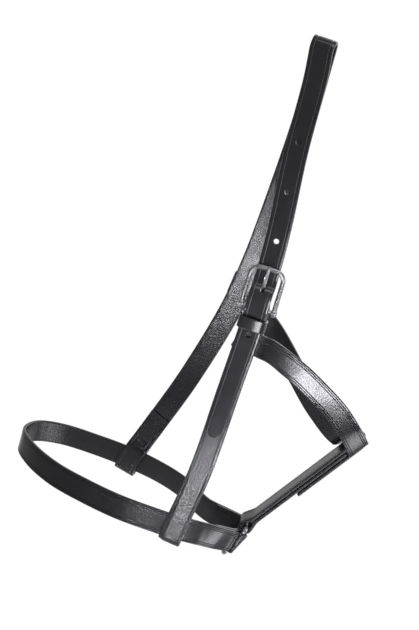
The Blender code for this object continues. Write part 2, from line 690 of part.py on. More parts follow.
def throat_strap(lay):
    """The throat strap: from inside the near cheek, under the throat, to the far cheek."""
    near_out = -(lay.ply + LEATHER + PLY_ROOM)
    point, down, across, out = lay.near.frame(lay.heel + THROAT_DROP)
    slope = math.radians(12.0)
    rear = (across * math.cos(slope) + down * math.sin(slope)).normalized()
    up = out.cross(rear)
    if up.z < 0.0:
        up = -up
    seat = point + out * near_out
    head = [(seat - rear * STRAP_WIDTH / 2.0, up), (seat + rear * (STRAP_WIDTH * 0.62), up)]

    far_out = LEATHER + PLY_ROOM
    point, down, across, out = lay.far.frame(THROAT_FAR_DROP)
    rear = (across * math.cos(THROAT_FAR_SLOPE) + down * math.sin(THROAT_FAR_SLOPE)).normalized()
    up = out.cross(rear)
    if up.z < 0.0:
        up = -up
    seat = point + out * far_out
    tail = [(seat + rear * (STRAP_WIDTH * 0.75), up), (seat - rear * (STRAP_WIDTH / 2.0 + THROAT_FAR_OVERHANG), up)]

    corner = THROAT_CORNER
    flat = STRAP_WIDTH / 2.0 + THROAT_SIDE_ROOM
    forward = lay.jowl_out
    if forward.x > 0.0:
        forward = -forward
    bottom = []
    for share in (-1.0, 0.0, 1.0):
        bottom.append((lay.throat_bottom + JOWL_ACROSS * flat * share, lay.jowl_along))
    turned = (flat + corner * 0.8) * JOWL_ACROSS
    before = (lay.throat_bottom - turned + forward * corner * 0.5, lay.jowl_along)
    after = (lay.throat_bottom + turned + forward * corner * 0.5, lay.jowl_along)
    free = [*THROAT_NEAR_POINTS, before, *bottom, after, *THROAT_FAR_POINTS]
    stations = blend_path(head, free, tail, THROAT_STEP)
    made = strip(full_width(stations, STRAP_WIDTH), LEATHER, EDGE_BEVEL)
    return finish_object("throat_strap", made, LEATHER_GRAIN)


def jowl_strap(lay):
    """The jowl strap: folded round the ring's top bar and round the throat strap."""
    pitch = lay.jowl_pitch
    half = STRAP_WIDTH / 2.0
    spread = lay.jowl_fold * 2.2
    end = lay.jowl_length - half - JOWL_LOOP_PLAY - SEAM_GAP
    ring_side = fold(lay.jowl_fold, 0.0, spread, pitch / 2.0, end)
    view = [(along, lay.jowl_bar_out - out) for along, out in ring_side]
    over = lay.jowl_length + half + SEAM_GAP
    view += arc((over, 0.0), pitch, math.radians(-90.0), math.radians(90.0))
    view.append((over - STRAP_WIDTH - JOWL_TAIL_LENGTH, pitch))
    stations = []
    for along, out in resample(view, JOWL_STEP):
        stations.append((lay.jowl_root + lay.jowl_along * along + lay.jowl_out * out, JOWL_ACROSS))
    made = strip(full_width(stations, STRAP_WIDTH), LEATHER, EDGE_BEVEL)
    return finish_object("jowl_strap", made, LEATHER_SMOOTH)


def buckle_frame(lay):
    """The buckle's frame: a bow of round wire with an eye at each end for the bar."""
    half = STRAP_WIDTH / 2.0 + BUCKLE_SIDE_ROOM + BUCKLE_WIRE / 2.0
    corner = BUCKLE_CORNER
    outline = [(half, 0.0), (half, (BUCKLE_HEIGHT - corner) / 2.0)]
    outline += arc((half - corner, BUCKLE_HEIGHT - corner), corner, 0.0, math.radians(90.0))
    outline += arc((-half + corner, BUCKLE_HEIGHT - corner), corner, math.radians(90.0), math.radians(180.0))
    outline += [(-half, (BUCKLE_HEIGHT - corner) / 2.0), (-half, 0.0)]
    points = [lay.heel_point + lay.heel_across * a + lay.frame_up * b for a, b in outline]
    facing = lay.heel_across.cross(lay.frame_up).normalized()
    bow = finish_object("buckle_frame", tube(points, BUCKLE_WIRE / 2.0, facing), NICKEL, lay.heel_point)
    for number, side in enumerate((-1.0, 1.0)):
        centre = lay.heel_point + lay.heel_across * half * side
        reach = lay.heel_across * BUCKLE_WIRE / 2.0
        eye = cutter(f"eye_blank_{number}", cylinder(centre - reach, centre + reach, EYE_RADIUS))
        boolean(bow, eye, "UNION")
    reach = lay.heel_across * (half + BUCKLE_WIRE)
    drill = cylinder(lay.heel_point - reach, lay.heel_point + reach, BAR_DIAMETER / 2.0 + PIVOT_GAP)
    boolean(bow, cutter("bar_drill", drill), "DIFFERENCE")
    return bow


def buckle_bar(lay):
    """The heel bar, riveted in the frame's eyes, with its ends just showing."""
    half = STRAP_WIDTH / 2.0 + BUCKLE_SIDE_ROOM + BUCKLE_WIRE + BAR_END
    reach = lay.heel_across * half
    made = cylinder(lay.heel_point - reach, lay.heel_point + reach, BAR_DIAMETER / 2.0)
    bar = finish_object("buckle_bar", made, NICKEL, lay.heel_point)
    rounding = bar.modifiers.new("rounded_ends", "BEVEL")
    rounding.width = BAR_END * 0.6
    rounding.segments = 2
    rounding.limit_method = "ANGLE"
    rounding.angle_limit = math.radians(60.0)
    return bar


def buckle_prong(lay):
    """The prong: an eye bent round the bar and a tongue through the billet's hole."""
    eye = BAR_DIAMETER / 2.0 + PIVOT_GAP + PRONG_THICKNESS / 2.0
    behind_bar = lay.top_bar_out - BUCKLE_WIRE / 2.0 - PLY_ROOM - LEATHER / 2.0
    hole_out = (behind_bar + lay.billet_over_bar) / 2.0
    rest_out = lay.top_bar_out + (BUCKLE_WIRE + PRONG_THICKNESS) / 2.0 + SEAM_GAP
    leave = math.radians(162.0)
    outline = arc((0.0, 0.0), eye, math.radians(445.0), leave)
    tongue = [
        Vector((eye * math.cos(leave), eye * math.sin(leave), 0.0)),
        Vector((hole_out * 0.16, PRONG_HOLE_RISE * 0.60, 0.0)),
        Vector((hole_out, PRONG_HOLE_RISE, 0.0)),
        Vector((hole_out * 0.36 + rest_out * 0.64, PRONG_HOLE_RISE * 0.62 + lay.top_bar_rise * 0.38, 0.0)),
        Vector((rest_out, lay.top_bar_rise - PRONG_THICKNESS, 0.0)),
        Vector((rest_out, lay.top_bar_rise + PRONG_THICKNESS * 0.4, 0.0)),
        Vector((rest_out - PRONG_THICKNESS * 0.3, lay.top_bar_rise + PRONG_TIP, 0.0)),
    ]
    outline += [(p.x, p.y) for p in smooth_curve(tongue, 3.0 * MM)[1:]]
    stations = []
    for index, (out, rise) in enumerate(outline):
        point = lay.heel_point + lay.heel_out * out + lay.heel_up * rise
        narrow = 0.62 if index == len(outline) - 1 else 1.0
        half = PRONG_WIDTH / 2.0 * narrow
        stations.append((point, lay.heel_across, half, half))
    made = strip(stations, PRONG_THICKNESS, PRONG_THICKNESS * 0.3)
    return finish_object("buckle_prong", made, NICKEL, lay.heel_point)


def jaw_ring(lay):
    """The rectangular ring that joins the noseband's ends and the jowl strap."""
    half_width = lay.ring_half_width
    half_height = lay.ring_half_height
    corner = RING_CORNER
    outline = []
    corners = [
        (half_width - corner, half_height - corner, 0.0),
        (-half_width + corner, half_height - corner, 90.0),
        (-half_width + corner, -half_height + corner, 180.0),
        (half_width - corner, -half_height + corner, 270.0),
    ]
    for side, rise, start in corners:
        outline += arc((side, rise), corner, math.radians(start), math.radians(start + 90.0))
    points = [RING_CENTRE + lay.ring_across * a + lay.ring_up * b for a, b in outline]
    facing = lay.ring_across.cross(lay.ring_up).normalized()
    made = tube(points, RING_WIRE / 2.0, facing, closed=True)
    return finish_object("jaw_ring", made, NICKEL, RING_CENTRE)


def build():
    """Makes every piece."""
    start_empty()
    lay = Layout()
    crown_strap(lay)
    near_cheek(lay)
    keeper(lay)
    noseband(lay)
    throat_strap(lay)
    jowl_strap(lay)
    buckle_frame(lay)
    buckle_bar(lay)
    buckle_prong(lay)
    jaw_ring(lay)


build()
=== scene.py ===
# %% [markdown]
# # Underhalter, hung buckled from its crown
#
# Six pieces of black leather and four of bright metal. Each strap is made as a saddler makes
# it: a flat strip is cut, its edges are rounded, its face is creased, its holes are punched,
# and only then is it bent along the line on which it hangs. The flat place of each point is
# kept as an attribute, so creases, grain, and the wear and painted sheen of the edges follow
# the leather round every fold.

import math

import bmesh
import bpy
import numpy as np
from mathutils import Matrix, Vector, noise


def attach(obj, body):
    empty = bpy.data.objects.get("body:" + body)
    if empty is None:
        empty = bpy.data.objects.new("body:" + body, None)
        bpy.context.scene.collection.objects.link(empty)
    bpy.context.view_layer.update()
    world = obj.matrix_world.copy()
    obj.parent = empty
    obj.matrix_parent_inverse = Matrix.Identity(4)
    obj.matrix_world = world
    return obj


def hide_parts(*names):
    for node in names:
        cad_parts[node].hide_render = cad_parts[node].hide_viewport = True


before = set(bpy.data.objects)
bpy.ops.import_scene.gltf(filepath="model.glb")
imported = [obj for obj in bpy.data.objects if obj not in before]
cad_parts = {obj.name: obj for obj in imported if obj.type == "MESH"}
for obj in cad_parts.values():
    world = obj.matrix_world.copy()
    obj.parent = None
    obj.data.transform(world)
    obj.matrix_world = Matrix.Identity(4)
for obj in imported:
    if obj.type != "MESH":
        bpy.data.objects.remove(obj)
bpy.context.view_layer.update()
MM = 0.001

# %% [markdown]
# ## Sizes
#
# Every size of the real halter that its pieces need is named once, in millimetres times MM.
# Sizes could be measured on the CAD nodes, but a seam gap or a fold's room can't be read back
# from a mesh, so they are the same values as in the CAD model's own source. Lines are taken
# at finer steps here, so that folds are round and faces run smoothly.

# %% Sizes
STRAP_WIDTH = 22.0 * MM
NOSEBAND_WIDTH = 24.0 * MM
LEATHER = 3.2 * MM
KEEPER_LEATHER = 2.2 * MM
SEAM_GAP = 0.3 * MM
LOOP_ROOM = 1.5 * MM
FOLD_ROOM = 0.5 * MM
PLY_ROOM = 0.6 * MM
KEEPER_ROOM = 0.5 * MM
PIVOT_GAP = 0.3 * MM
CROWN_INNER_RADIUS = 6.0 * MM
NEAR_HEEL_BAR = Vector((17.7, -31.0, -250.5)) * MM
NEAR_CROSSING = Vector((8.0, -57.5, -480.0)) * MM
FAR_CROSSING = Vector((-79.5, 55.5, -484.0)) * MM
NEAR_UPPER = [(3.5, -10.5, -35.0), (7.0, -16.5, -100.0), (15.0, -24.5, -180.0)]
NEAR_LOWER = [(16.3, -39.5, -335.0), (14.5, -49.0, -418.0)]
FAR_LINE = [
    (0.0, 13.5, -70.0),
    (-4.0, 22.0, -145.0),
    (-11.0, 31.0, -230.0),
    (-19.7, 36.5, -285.0),
    (-42.4, 45.0, -372.0),
    (-65.0, 51.5, -440.0),
]
BILLET_LENGTH = 132.0 * MM
BILLET_POINT = 18.0 * MM
HOLE_DIAMETER = 5.2 * MM
HOLE_SPACING = 47.0 * MM
HOLES_ABOVE_PRONG = 3
HOLES_BELOW_PRONG = 1
PULLED_HOLE_LENGTH = 8.4 * MM
PULLED_HOLE_SQUEEZE = 0.76
CHAPE_LENGTH = 58.0 * MM
NEAR_TAIL_LENGTH = 78.0 * MM
FAR_TAIL_LENGTH = 74.0 * MM
SEAM_SPREAD = 12.0 * MM
KEEPER_WIDTH = 12.0 * MM
KEEPER_DROP = 15.0 * MM
KEEPER_CORNER = 3.0 * MM
BUCKLE_WIRE = 4.6 * MM
BUCKLE_SIDE_ROOM = 2.6 * MM
BUCKLE_HEIGHT = 40.0 * MM
BUCKLE_CORNER = 9.0 * MM
BUCKLE_LEAN = math.radians(7.0)
EYE_RADIUS = 3.9 * MM
BAR_DIAMETER = 4.0 * MM
BAR_END = 0.9 * MM
PRONG_WIDTH = 3.6 * MM
PRONG_THICKNESS = 2.2 * MM
PRONG_HOLE_RISE = 20.5 * MM
PRONG_TIP = 3.5 * MM
PRONG_SLOT_ROOM = 0.6 * MM
PRONG_WRAPPED_TO = 445.0  # degrees round the heel bar
PRONG_LEAVES_AT = 162.0
RING_WIRE = 4.4 * MM
RING_PLAY = 2.2 * MM
RING_SIDE_ROOM = 5.6 * MM
RING_CORNER = 4.5 * MM
RING_CENTRE = Vector((57.8, -1.5, -491.5)) * MM
RING_ACROSS = Vector((-0.22, 0.97, -0.06)).normalized()
RING_LEAN = math.radians(25.0)
RING_TAIL_LENGTH = 30.0 * MM
THROAT_DROP = 35.5 * MM
THROAT_FAR_DROP = 262.0 * MM
THROAT_NEAR_SLOPE = math.radians(12.0)
THROAT_FAR_SLOPE = math.radians(22.0)
THROAT_FAR_OVERHANG = 5.5 * MM
THROAT_BOTTOM = Vector((144.5, -3.0, -356.0)) * MM
JOWL_ACROSS = Vector((-0.18, 0.98, 0.06)).normalized()
JOWL_BAR_ROOM = 1.9 * MM
JOWL_TAIL_LENGTH = 60.0 * MM
JOWL_LOOP_PLAY = 2.6 * MM
THROAT_SIDE_ROOM = 2.4 * MM
THROAT_CORNER = 4.0 * MM
LOOP_PINCH = 9.5 * MM
LOOP_THINNING = 0.55
THROAT_BULGE = 3.0 * MM

# Noseband: points and how far its upper edge leans to the far side, in degrees
NOSE_NEAR = [((30.0, -50.5, -480.5), 8.0)]
NOSE_FRONT = [
    ((-14.0, -60.0, -480.3), 8.0),
    ((-50.0, -63.5, -479.8), 9.0),
    ((-88.0, -60.0, -479.2), 9.0),
    ((-125.0, -50.0, -479.4), 8.0),
    ((-161.0, -26.5, -480.2), 4.0),
    ((-181.5, 2.0, -481.7), 0.0),
    ((-177.5, 29.0, -482.3), -4.0),
    ((-155.0, 46.0, -483.0), -7.0),
    ((-118.0, 54.5, -484.0), -8.0),
]
NOSE_FAR = [
    ((-45.0, 51.0, -484.5), -8.0),
    ((-16.0, 43.0, -486.5), -6.0),
    ((16.0, 31.5, -494.0), -3.0),
]

# Throat strap: points and its direction across
THROAT_NEAR = [
    ((44.0, -29.5, -289.5), (0.16, 0.12, 0.98)),
    ((70.0, -28.0, -297.0), (0.32, 0.24, 0.92)),
    ((95.0, -24.5, -310.0), (0.42, 0.26, 0.87)),
    ((118.0, -20.5, -324.5), (0.56, 0.16, 0.81)),
    ((135.5, -18.5, -339.5), (0.60, 0.05, 0.80)),
]
THROAT_FAR = [
    ((125.0, 14.0, -359.5), (0.55, 0.0, 0.84)),
    ((96.0, 18.0, -345.0), (0.56, 0.0, 0.83)),
    ((63.0, 25.0, -319.0), (0.58, -0.05, 0.81)),
    ((24.0, 35.0, -288.0), (0.48, -0.10, 0.87)),
]

CREASE_DEPTH = 0.3 * MM
CREASE_REACH = 0.7 * MM
PROFILE_STEP = 0.8 * MM
RING_STEP = 1.15 * MM  # between rings of vertices along a strip
ARC_STEP = 7.5  # degrees
COURSE_STEP = 3.0 * MM
EDGE_ROUNDING = 0.9 * MM
SEAM_ROW = 8.6 * MM
SKIVED_AWAY = 1.55  # of the thickness above the middle
print("strap", STRAP_WIDTH / MM, "noseband", NOSEBAND_WIDTH / MM, "leather", LEATHER / MM)

# %% [markdown]
# ## Lines that straps follow
#
# A hanging strap runs in a smooth line between the places that carry it. It could be a Bezier
# curve with handles set by hand, but a centripetal Catmull-Rom curve goes through every given
# point and doesn't swing past it, which suits measured points. A fold is drawn as a side
# view: how far along the line each ply lies, and how far out of it.


# %% Curves and folds
def vec(triple):
    """A point given in millimetres."""
    return Vector(triple) * MM


def nearest(points, target):
    """Index of the point nearest a target."""
    return min(range(len(points)), key=lambda index: (points[index] - target).length)


def between(first, second, start, end, at):
    """The value at a place between two values, each at its own place."""
    return first * ((end - at) / (end - start)) + second * ((at - start) / (end - start))


def smooth_curve(points, step):
    """Points of a centripetal Catmull-Rom curve, about one step apart."""
    ends = [points[0] * 2.0 - points[1]] + list(points) + [points[-1] * 2.0 - points[-2]]
    curve = []
    for index in range(1, len(ends) - 2):
        p = ends[index - 1 : index + 3]
        t = [0.0]
        for before, after in zip(p, p[1:]):
            t.append(t[-1] + math.sqrt((after - before).length))
        count = max(2, round((p[2] - p[1]).length / step))
        for number in range(count):
            at = t[1] + (t[2] - t[1]) * number / count
            a = [between(p[i], p[i + 1], t[i], t[i + 1], at) for i in range(3)]
            b = [between(a[i], a[i + 1], t[i], t[i + 2], at) for i in range(2)]
            curve.append(between(b[0], b[1], t[1], t[2], at))
    curve.append(points[-1].copy())
    return curve


def arc(centre, radius, start, end):
    """Points (along, out) of an arc between two angles in degrees, both ends included."""
    count = max(2, round(abs(end - start) / ARC_STEP))
    turns = [math.radians(start + (end - start) * number / count) for number in range(count + 1)]
    return [(centre[0] + radius * math.cos(a), centre[1] + radius * math.sin(a)) for a in turns]


def fold(radius, straight, spread, half_gap, tail):
    """Side view of a strap folded round something at (0, 0), tail on the inner side."""
    points = [(tail, -half_gap), (spread, -half_gap)]
    if straight > 0.0:
        points.append((straight, -radius))
    points += arc((0.0, 0.0), radius, -90.0, -270.0)
    if straight > 0.0:
        points.append((straight, radius))
    points.append((spread, half_gap))
    return points


def resample(profile, step=PROFILE_STEP):
    """Fills long runs of a side view with points about one step apart."""
    filled = [profile[0]]
    for before, after in zip(profile, profile[1:]):
        count = max(1, round(math.dist(before, after) / step))
        for number in range(1, count + 1):
            share = number / count
            filled.append(tuple(a + (b - a) * share for a, b in zip(before, after)))
    return filled


def leaned(angle):
    """Upward direction that leans to the far side by an angle in degrees."""
    return Vector((0.0, math.sin(math.radians(angle)), math.cos(math.radians(angle))))


# %% A line with directions
class Course:
    """A line that a strap follows, with a frame at every length along it."""

    def __init__(self, points, acrosses, sign, oblique=False):
        self.points = smooth_curve(points, COURSE_STEP)
        self.lengths = [0.0]
        for before, after in zip(self.points, self.points[1:]):
            self.lengths.append(self.lengths[-1] + (after - before).length)
        last = len(self.points) - 1
        self.tangents = [
            (self.points[min(index + 1, last)] - self.points[max(index - 1, 0)]).normalized()
            for index in range(last + 1)
        ]
        self.marks = [(self.length_at(points[index]), across) for index, across in acrosses]
        self.sign = sign
        self.oblique = oblique

    def length_at(self, target):
        """Length from the start to the point of the course nearest the target."""
        return self.lengths[nearest(self.points, target)]

    def across_at(self, length):
        """Direction across, blended between the marked points."""
        last = len(self.marks) - 2
        index = 0
        while index < last and self.marks[index + 1][0] < length:
            index += 1
        (start, first), (end, second) = self.marks[index : index + 2]
        share = min(max((length - start) / (end - start), 0.0), 1.0)
        return first.lerp(second, share).normalized()

    def frame(self, length):
        """Point, direction down the course, directions across and outward at a length."""
        last = len(self.points) - 2
        inside = min(max(length, 0.0), self.lengths[-1])
        index = min(int(np.searchsorted(self.lengths, inside, side="right")) - 1, last)
        share = (inside - self.lengths[index]) / (self.lengths[index + 1] - self.lengths[index])
        down = self.tangents[index].lerp(self.tangents[index + 1], share).normalized()
        across = self.across_at(length)
        square = (down - across * down.dot(across)).normalized()
        out = across.cross(square) * self.sign
        point = self.points[index].lerp(self.points[index + 1], share) + square * (length - inside)
        if not self.oblique:
            across = down.cross(out) * self.sign
        return point, down, across, out

    def place(self, length, out_distance):
        """Point and direction across at a length, moved outward by a distance."""
        point, down, across, out = self.frame(length)
        return point + out * out_distance, across


# %% What several pieces share
class Layout:
    """The lines and frames that several pieces share."""

    def __init__(self):
        crown_radius = CROWN_INNER_RADIUS + LEATHER / 2.0
        near_top = Vector((0.0, -crown_radius, -CROWN_INNER_RADIUS))
        far_top = Vector((0.0, crown_radius, -CROWN_INNER_RADIUS))
        across = Vector((1.0, 0.0, 0.0))
        near_tangent = (vec(NOSE_NEAR[-1][0]) - vec(NOSE_FRONT[0][0])).normalized()
        far_tangent = (vec(NOSE_FAR[0][0]) - vec(NOSE_FRONT[-1][0])).normalized()
        near_lower = [vec(p) for p in NEAR_LOWER]
        near_end = NEAR_CROSSING + (NEAR_CROSSING - near_lower[-1]).normalized() * NOSEBAND_WIDTH
        far_end = FAR_CROSSING + Vector((-0.17, 0.08, -0.98)) * NOSEBAND_WIDTH
        near_points = [near_top, *map(vec, NEAR_UPPER), NEAR_HEEL_BAR]
        near_points += [*near_lower, NEAR_CROSSING, near_end]
        far_points = [far_top, *map(vec, FAR_LINE), FAR_CROSSING, far_end]
        self.crown_radius = crown_radius
        self.near = Course(near_points, [(0, across), (len(near_points) - 1, near_tangent)], -1.0)
        self.far = Course(far_points, [(0, across), (len(far_points) - 1, far_tangent)], 1.0)
        self.heel = self.near.length_at(NEAR_HEEL_BAR)
        self.near_band = self.near.length_at(NEAR_CROSSING)
        self.far_band = self.far.length_at(FAR_CROSSING)

        self.ply = (LEATHER + SEAM_GAP) / 2.0
        self.billet_out = self.ply + LEATHER + SEAM_GAP
        self.chape_radius = BAR_DIAMETER / 2.0 + FOLD_ROOM + LEATHER / 2.0
        self.billet_over_bar = self.chape_radius + LEATHER + SEAM_GAP
        self.band_radius = LEATHER + LOOP_ROOM
        self.loop_drop = NOSEBAND_WIDTH / 2.0 - LEATHER / 4.0
        self.loop_straight = NOSEBAND_WIDTH + 2.0 * LOOP_ROOM

        point, down, side, out = self.near.frame(self.heel)
        lean = Matrix.Rotation(BUCKLE_LEAN, 3, down.cross(out))
        self.heel_point = point
        self.heel_up = -down
        self.heel_out = out
        self.heel_across = side
        self.frame_up = lean @ self.heel_up
        if self.frame_up.dot(out) < 0.0:
            self.frame_up = lean.inverted() @ self.heel_up
        self.top_bar_out = math.sin(BUCKLE_LEAN) * BUCKLE_HEIGHT
        self.top_bar_rise = math.cos(BUCKLE_LEAN) * BUCKLE_HEIGHT
        self.behind_bar = self.top_bar_out - BUCKLE_WIRE / 2.0 - PLY_ROOM - LEATHER / 2.0

        upward = Vector((math.sin(RING_LEAN), 0.0, math.cos(RING_LEAN)))
        self.ring_up = (upward - RING_ACROSS * upward.dot(RING_ACROSS)).normalized()
        self.ring_half_width = STRAP_WIDTH / 2.0 + RING_SIDE_ROOM + RING_WIRE / 2.0
        band_on_bar = NOSEBAND_WIDTH / math.cos(RING_LEAN)
        self.ring_half_height = (band_on_bar + RING_PLAY) / 2.0 + SEAM_GAP + RING_WIRE / 2.0
        self.ring_fold = RING_WIRE / 2.0 + FOLD_ROOM + LEATHER / 2.0
        self.ring_band = RING_CENTRE + self.ring_up * (RING_PLAY / 2.0)
        self.ring_top = RING_CENTRE + self.ring_up * self.ring_half_height

        self.jowl_pitch = LEATHER + PLY_ROOM
        run = THROAT_BOTTOM - self.ring_top
        self.jowl_fold = RING_WIRE / 2.0 + JOWL_BAR_ROOM + LEATHER / 2.0
        self.throat_bottom = THROAT_BOTTOM - JOWL_ACROSS * run.dot(JOWL_ACROSS)
        run = self.throat_bottom - self.ring_top
        turn = -math.asin(self.jowl_pitch / 2.0 / run.length)
        self.jowl_along = Matrix.Rotation(turn, 3, JOWL_ACROSS) @ run.normalized()
        self.jowl_out = JOWL_ACROSS.cross(self.jowl_along).normalized()
        self.jowl_length = run.dot(self.jowl_along)
        self.jowl_root = self.throat_bottom - self.jowl_along * self.jowl_length
        self.jowl_bar_out = (self.ring_top - self.jowl_root).dot(self.jowl_out)


lay = Layout()
print("near line", round(lay.near.lengths[-1], 4), "far line", round(lay.far.lengths[-1], 4))

# %% [markdown]
# ## Flat strips
#
# A real strap is cut from a flat hide, its edges are rounded with an edge shave, and a line is
# pressed along them with a hot crease. It could be extruded along its line at once, but then
# creases, holes and pared ends would have to be made on a bent shape. So a strip starts as a
# cube drawn out to its length, width and thickness. A Bevel modifier rounds its edges,
# bisecting planes mark the crease lines, which are pressed in, and its long edges are
# subdivided so that it can bend.


# %% Selecting and placing
def mode(name):
    """Goes into edit mode or back to object mode."""
    bpy.ops.object.mode_set(mode=name)


def select_all():
    """Selects all of the mesh that is in edit mode."""
    bpy.ops.mesh.select_all(action="SELECT")


def shift(x, y, z):
    """Moves what is selected."""
    bpy.ops.transform.translate(value=(x, y, z))


def select_only(obj):
    """Makes one object the only selected and active one."""
    bpy.ops.object.select_all(action="DESELECT")
    obj.select_set(True)
    bpy.context.view_layer.objects.active = obj


def select_in_edit(obj, test, kind="VERT"):
    """In edit mode, selects the vertices or edges that pass a test, and no others."""
    made = bmesh.from_edit_mesh(obj.data)
    for item in (*made.verts, *made.edges, *made.faces):
        item.select = False
    made.select_mode = {kind}
    for item in made.verts if kind == "VERT" else made.edges:
        item.select = test(item)
    made.select_flush_mode()
    bmesh.update_edit_mesh(obj.data)


def start_mesh(add, name, **values):
    """Adds a primitive with nothing else selected, and names its object and mesh."""
    bpy.ops.object.select_all(action="DESELECT")
    add(**values)
    obj = bpy.context.object
    obj.name = obj.data.name = name
    return obj


def settle(obj):
    """Takes an object's place and turn into its mesh."""
    select_only(obj)
    bpy.ops.object.transform_apply(location=True, rotation=True, scale=True)


# %% Modifiers that shape a piece
def apply_modifiers(obj):
    """Applies every modifier of an object."""
    select_only(obj)
    for modifier in list(obj.modifiers):
        bpy.ops.object.modifier_apply(modifier=modifier.name)


def round_edges(obj, width, segments, sharper_than=None):
    """Rounds all edges of an object, or those sharper than an angle in degrees."""
    rounded = obj.modifiers.new("rounded_edges", "BEVEL")
    rounded.width = width
    rounded.segments = segments
    rounded.limit_method = "ANGLE" if sharper_than else "NONE"
    rounded.angle_limit = math.radians(sharper_than or 0.0)
    apply_modifiers(obj)


def combine(obj, operation, tools):
    """Joins tools to an object or takes them out by exact Booleans, then removes them."""
    for tool in tools:
        modifier = obj.modifiers.new("combine", "BOOLEAN")
        modifier.operation = operation
        modifier.solver = "EXACT"
        modifier.object = tool
    apply_modifiers(obj)
    for tool in tools:
        bpy.data.objects.remove(tool, do_unlink=True)


# %% A flat strip
def flat_strip(
    name,
    length,
    creases=(),
    columns=0.0,
    width=STRAP_WIDTH,
    thickness=LEATHER,
    rounding=EDGE_ROUNDING,
    step=RING_STEP,
):
    """A flat strip from x = 0 to its length, face upward, with pressed crease lines."""
    obj = start_mesh(bpy.ops.mesh.primitive_cube_add, name, size=1.0, location=(0.0, 0.0, 0.0))
    mode("EDIT")
    select_all()
    bpy.ops.transform.resize(value=(length, width, thickness))
    shift(length / 2.0, 0.0, 0.0)
    mode("OBJECT")
    round_edges(obj, rounding, segments=3)
    mode("EDIT")
    lines = [side * (width / 2.0 - inset) for inset in creases for side in (-1.0, 1.0)]
    places = [line + number * CREASE_REACH / 2.0 for line in lines for number in range(-2, 3)]
    if columns:
        reach = width / 2.0 - max(creases) - 2.0 * CREASE_REACH
        places += list(np.linspace(-reach, reach, round(2.0 * reach / columns) + 1))
    for place in places:
        select_all()
        bpy.ops.mesh.bisect(plane_co=(0.0, place, 0.0), plane_no=(0.0, 1.0, 0.0))
    face = thickness * 0.49
    for line in lines:
        select_in_edit(obj, lambda vert, y=line: abs(vert.co.y - y) < 1e-6 and vert.co.z > face)
        shift(0.0, 0.0, -CREASE_DEPTH)
    count = max(2, math.ceil(math.sqrt(length / step)))
    for shortest in (length * 0.5, length * 0.5 / count):
        select_in_edit(
            obj,
            lambda edge, least=shortest: abs(edge.verts[0].co.x - edge.verts[1].co.x) > least,
            "EDGE",
        )
        bpy.ops.mesh.subdivide(number_cuts=count - 1)
    mode("OBJECT")
    return obj


# %% [markdown]
# ## Bending a strip along its line
#
# Leather is folded damp, by hand, and keeps its length along the middle. A Curve modifier
# would bend a strip too, but it turns the strip by its own rule, and can't hold a tight fold
# and a given direction across at once. So the points are moved by mesh code: the line is a
# row of stations, each with a place and a direction across, and a flat place (along, across,
# above) goes to the station at its length. The flat place stays on the mesh as an attribute,
# from which the finishes are drawn.


# %% Stations
def run_lengths(points):
    """Length from the first point to each point."""
    return np.concatenate([[0.0], np.cumsum(np.linalg.norm(np.diff(points, axis=0), axis=1))])


def unit(values):
    """Rows scaled to length 1."""
    return values / np.linalg.norm(values, axis=1)[:, None]


def read_at(places, lengths, values):
    """Rows of values, read at places along."""
    return np.stack([np.interp(places, lengths, values[:, axis]) for axis in range(3)], axis=1)


def even_stations(stations, passes):
    """Stations one profile step apart, smoothed, as arrays of points and directions across."""
    points = np.array([tuple(point) for point, across in stations])
    across = np.array([tuple(side) for point, side in stations])
    keep = np.concatenate([[True], np.linalg.norm(np.diff(points, axis=0), axis=1) > 1e-7])
    points, across = points[keep], across[keep]
    length = run_lengths(points)
    even = np.linspace(0.0, length[-1], max(4, round(length[-1] / PROFILE_STEP)) + 1)
    points, across = read_at(even, length, points), read_at(even, length, across)
    for _ in range(passes):
        for values in (points, across):
            values[1:-1] = (values[:-2] + 2.0 * values[1:-1] + values[2:]) / 4.0
    return points, unit(across), run_lengths(points)


# %% Bending
class Bend:
    """Takes flat places (along, across, above the middle) to the strap's hanging line."""

    def __init__(self, stations, face, passes=6):
        self.points, self.across, self.length = even_stations(stations, passes)
        self.face = face
        self.tangents = unit(np.gradient(self.points, self.length, axis=0))
        self.total = float(self.length[-1])

    def length_of(self, index):
        """Length from the start to a station."""
        return float(self.length[index])

    def move(self, flat):
        """World places of flat places."""
        along = np.clip(flat[:, 0], 0.0, self.total)
        tangent = unit(read_at(along, self.length, self.tangents))
        across = unit(read_at(along, self.length, self.across))
        normal = np.cross(tangent, across)
        square = np.linalg.norm(normal, axis=1)[:, None]
        place = read_at(along, self.length, self.points) + tangent * (flat[:, 0] - along)[:, None]
        place += across * (self.face * flat[:, 1:2] / square)
        return place + normal / square * (self.face * flat[:, 2:3])

    def bend(self, obj):
        """Keeps an object's flat places as an attribute, then bends its mesh."""
        mesh = obj.data
        flat = np.zeros(len(mesh.vertices) * 3)
        mesh.vertices.foreach_get("co", flat)
        flat = flat.reshape(-1, 3)
        attribute = mesh.attributes.new("flat", "FLOAT_VECTOR", "POINT")
        attribute.data.foreach_set("vector", flat.astype(np.float32).ravel())
        mesh.vertices.foreach_set("co", self.move(flat).astype(np.float32).ravel())
        mesh.update()


# %% [markdown]
# ## Working the leather
#
# Leather wrinkles where it is pulled round something, and its sewn ends are pared thin. Along
# a seam, a dark line of painted shade is laid on its face. Sculpting could show this, but it
# isn't the same twice. So each is a small rule on flat places: how strong it is here, from 0 to 1.


# %% Working the leather
def soft(value, low, high):
    """A smooth step from 0 at low to 1 at high."""
    share = min(max((value - low) / (high - low), 0.0), 1.0)
    return share * share * (3.0 - 2.0 * share)


def within(place, zone):
    """1 between a zone's inner two marks in millimetres, and 0 outside its outer two."""
    start, full, fading, end = (mark * MM for mark in zone)
    return soft(place, start, full) * soft(place, end, fading)


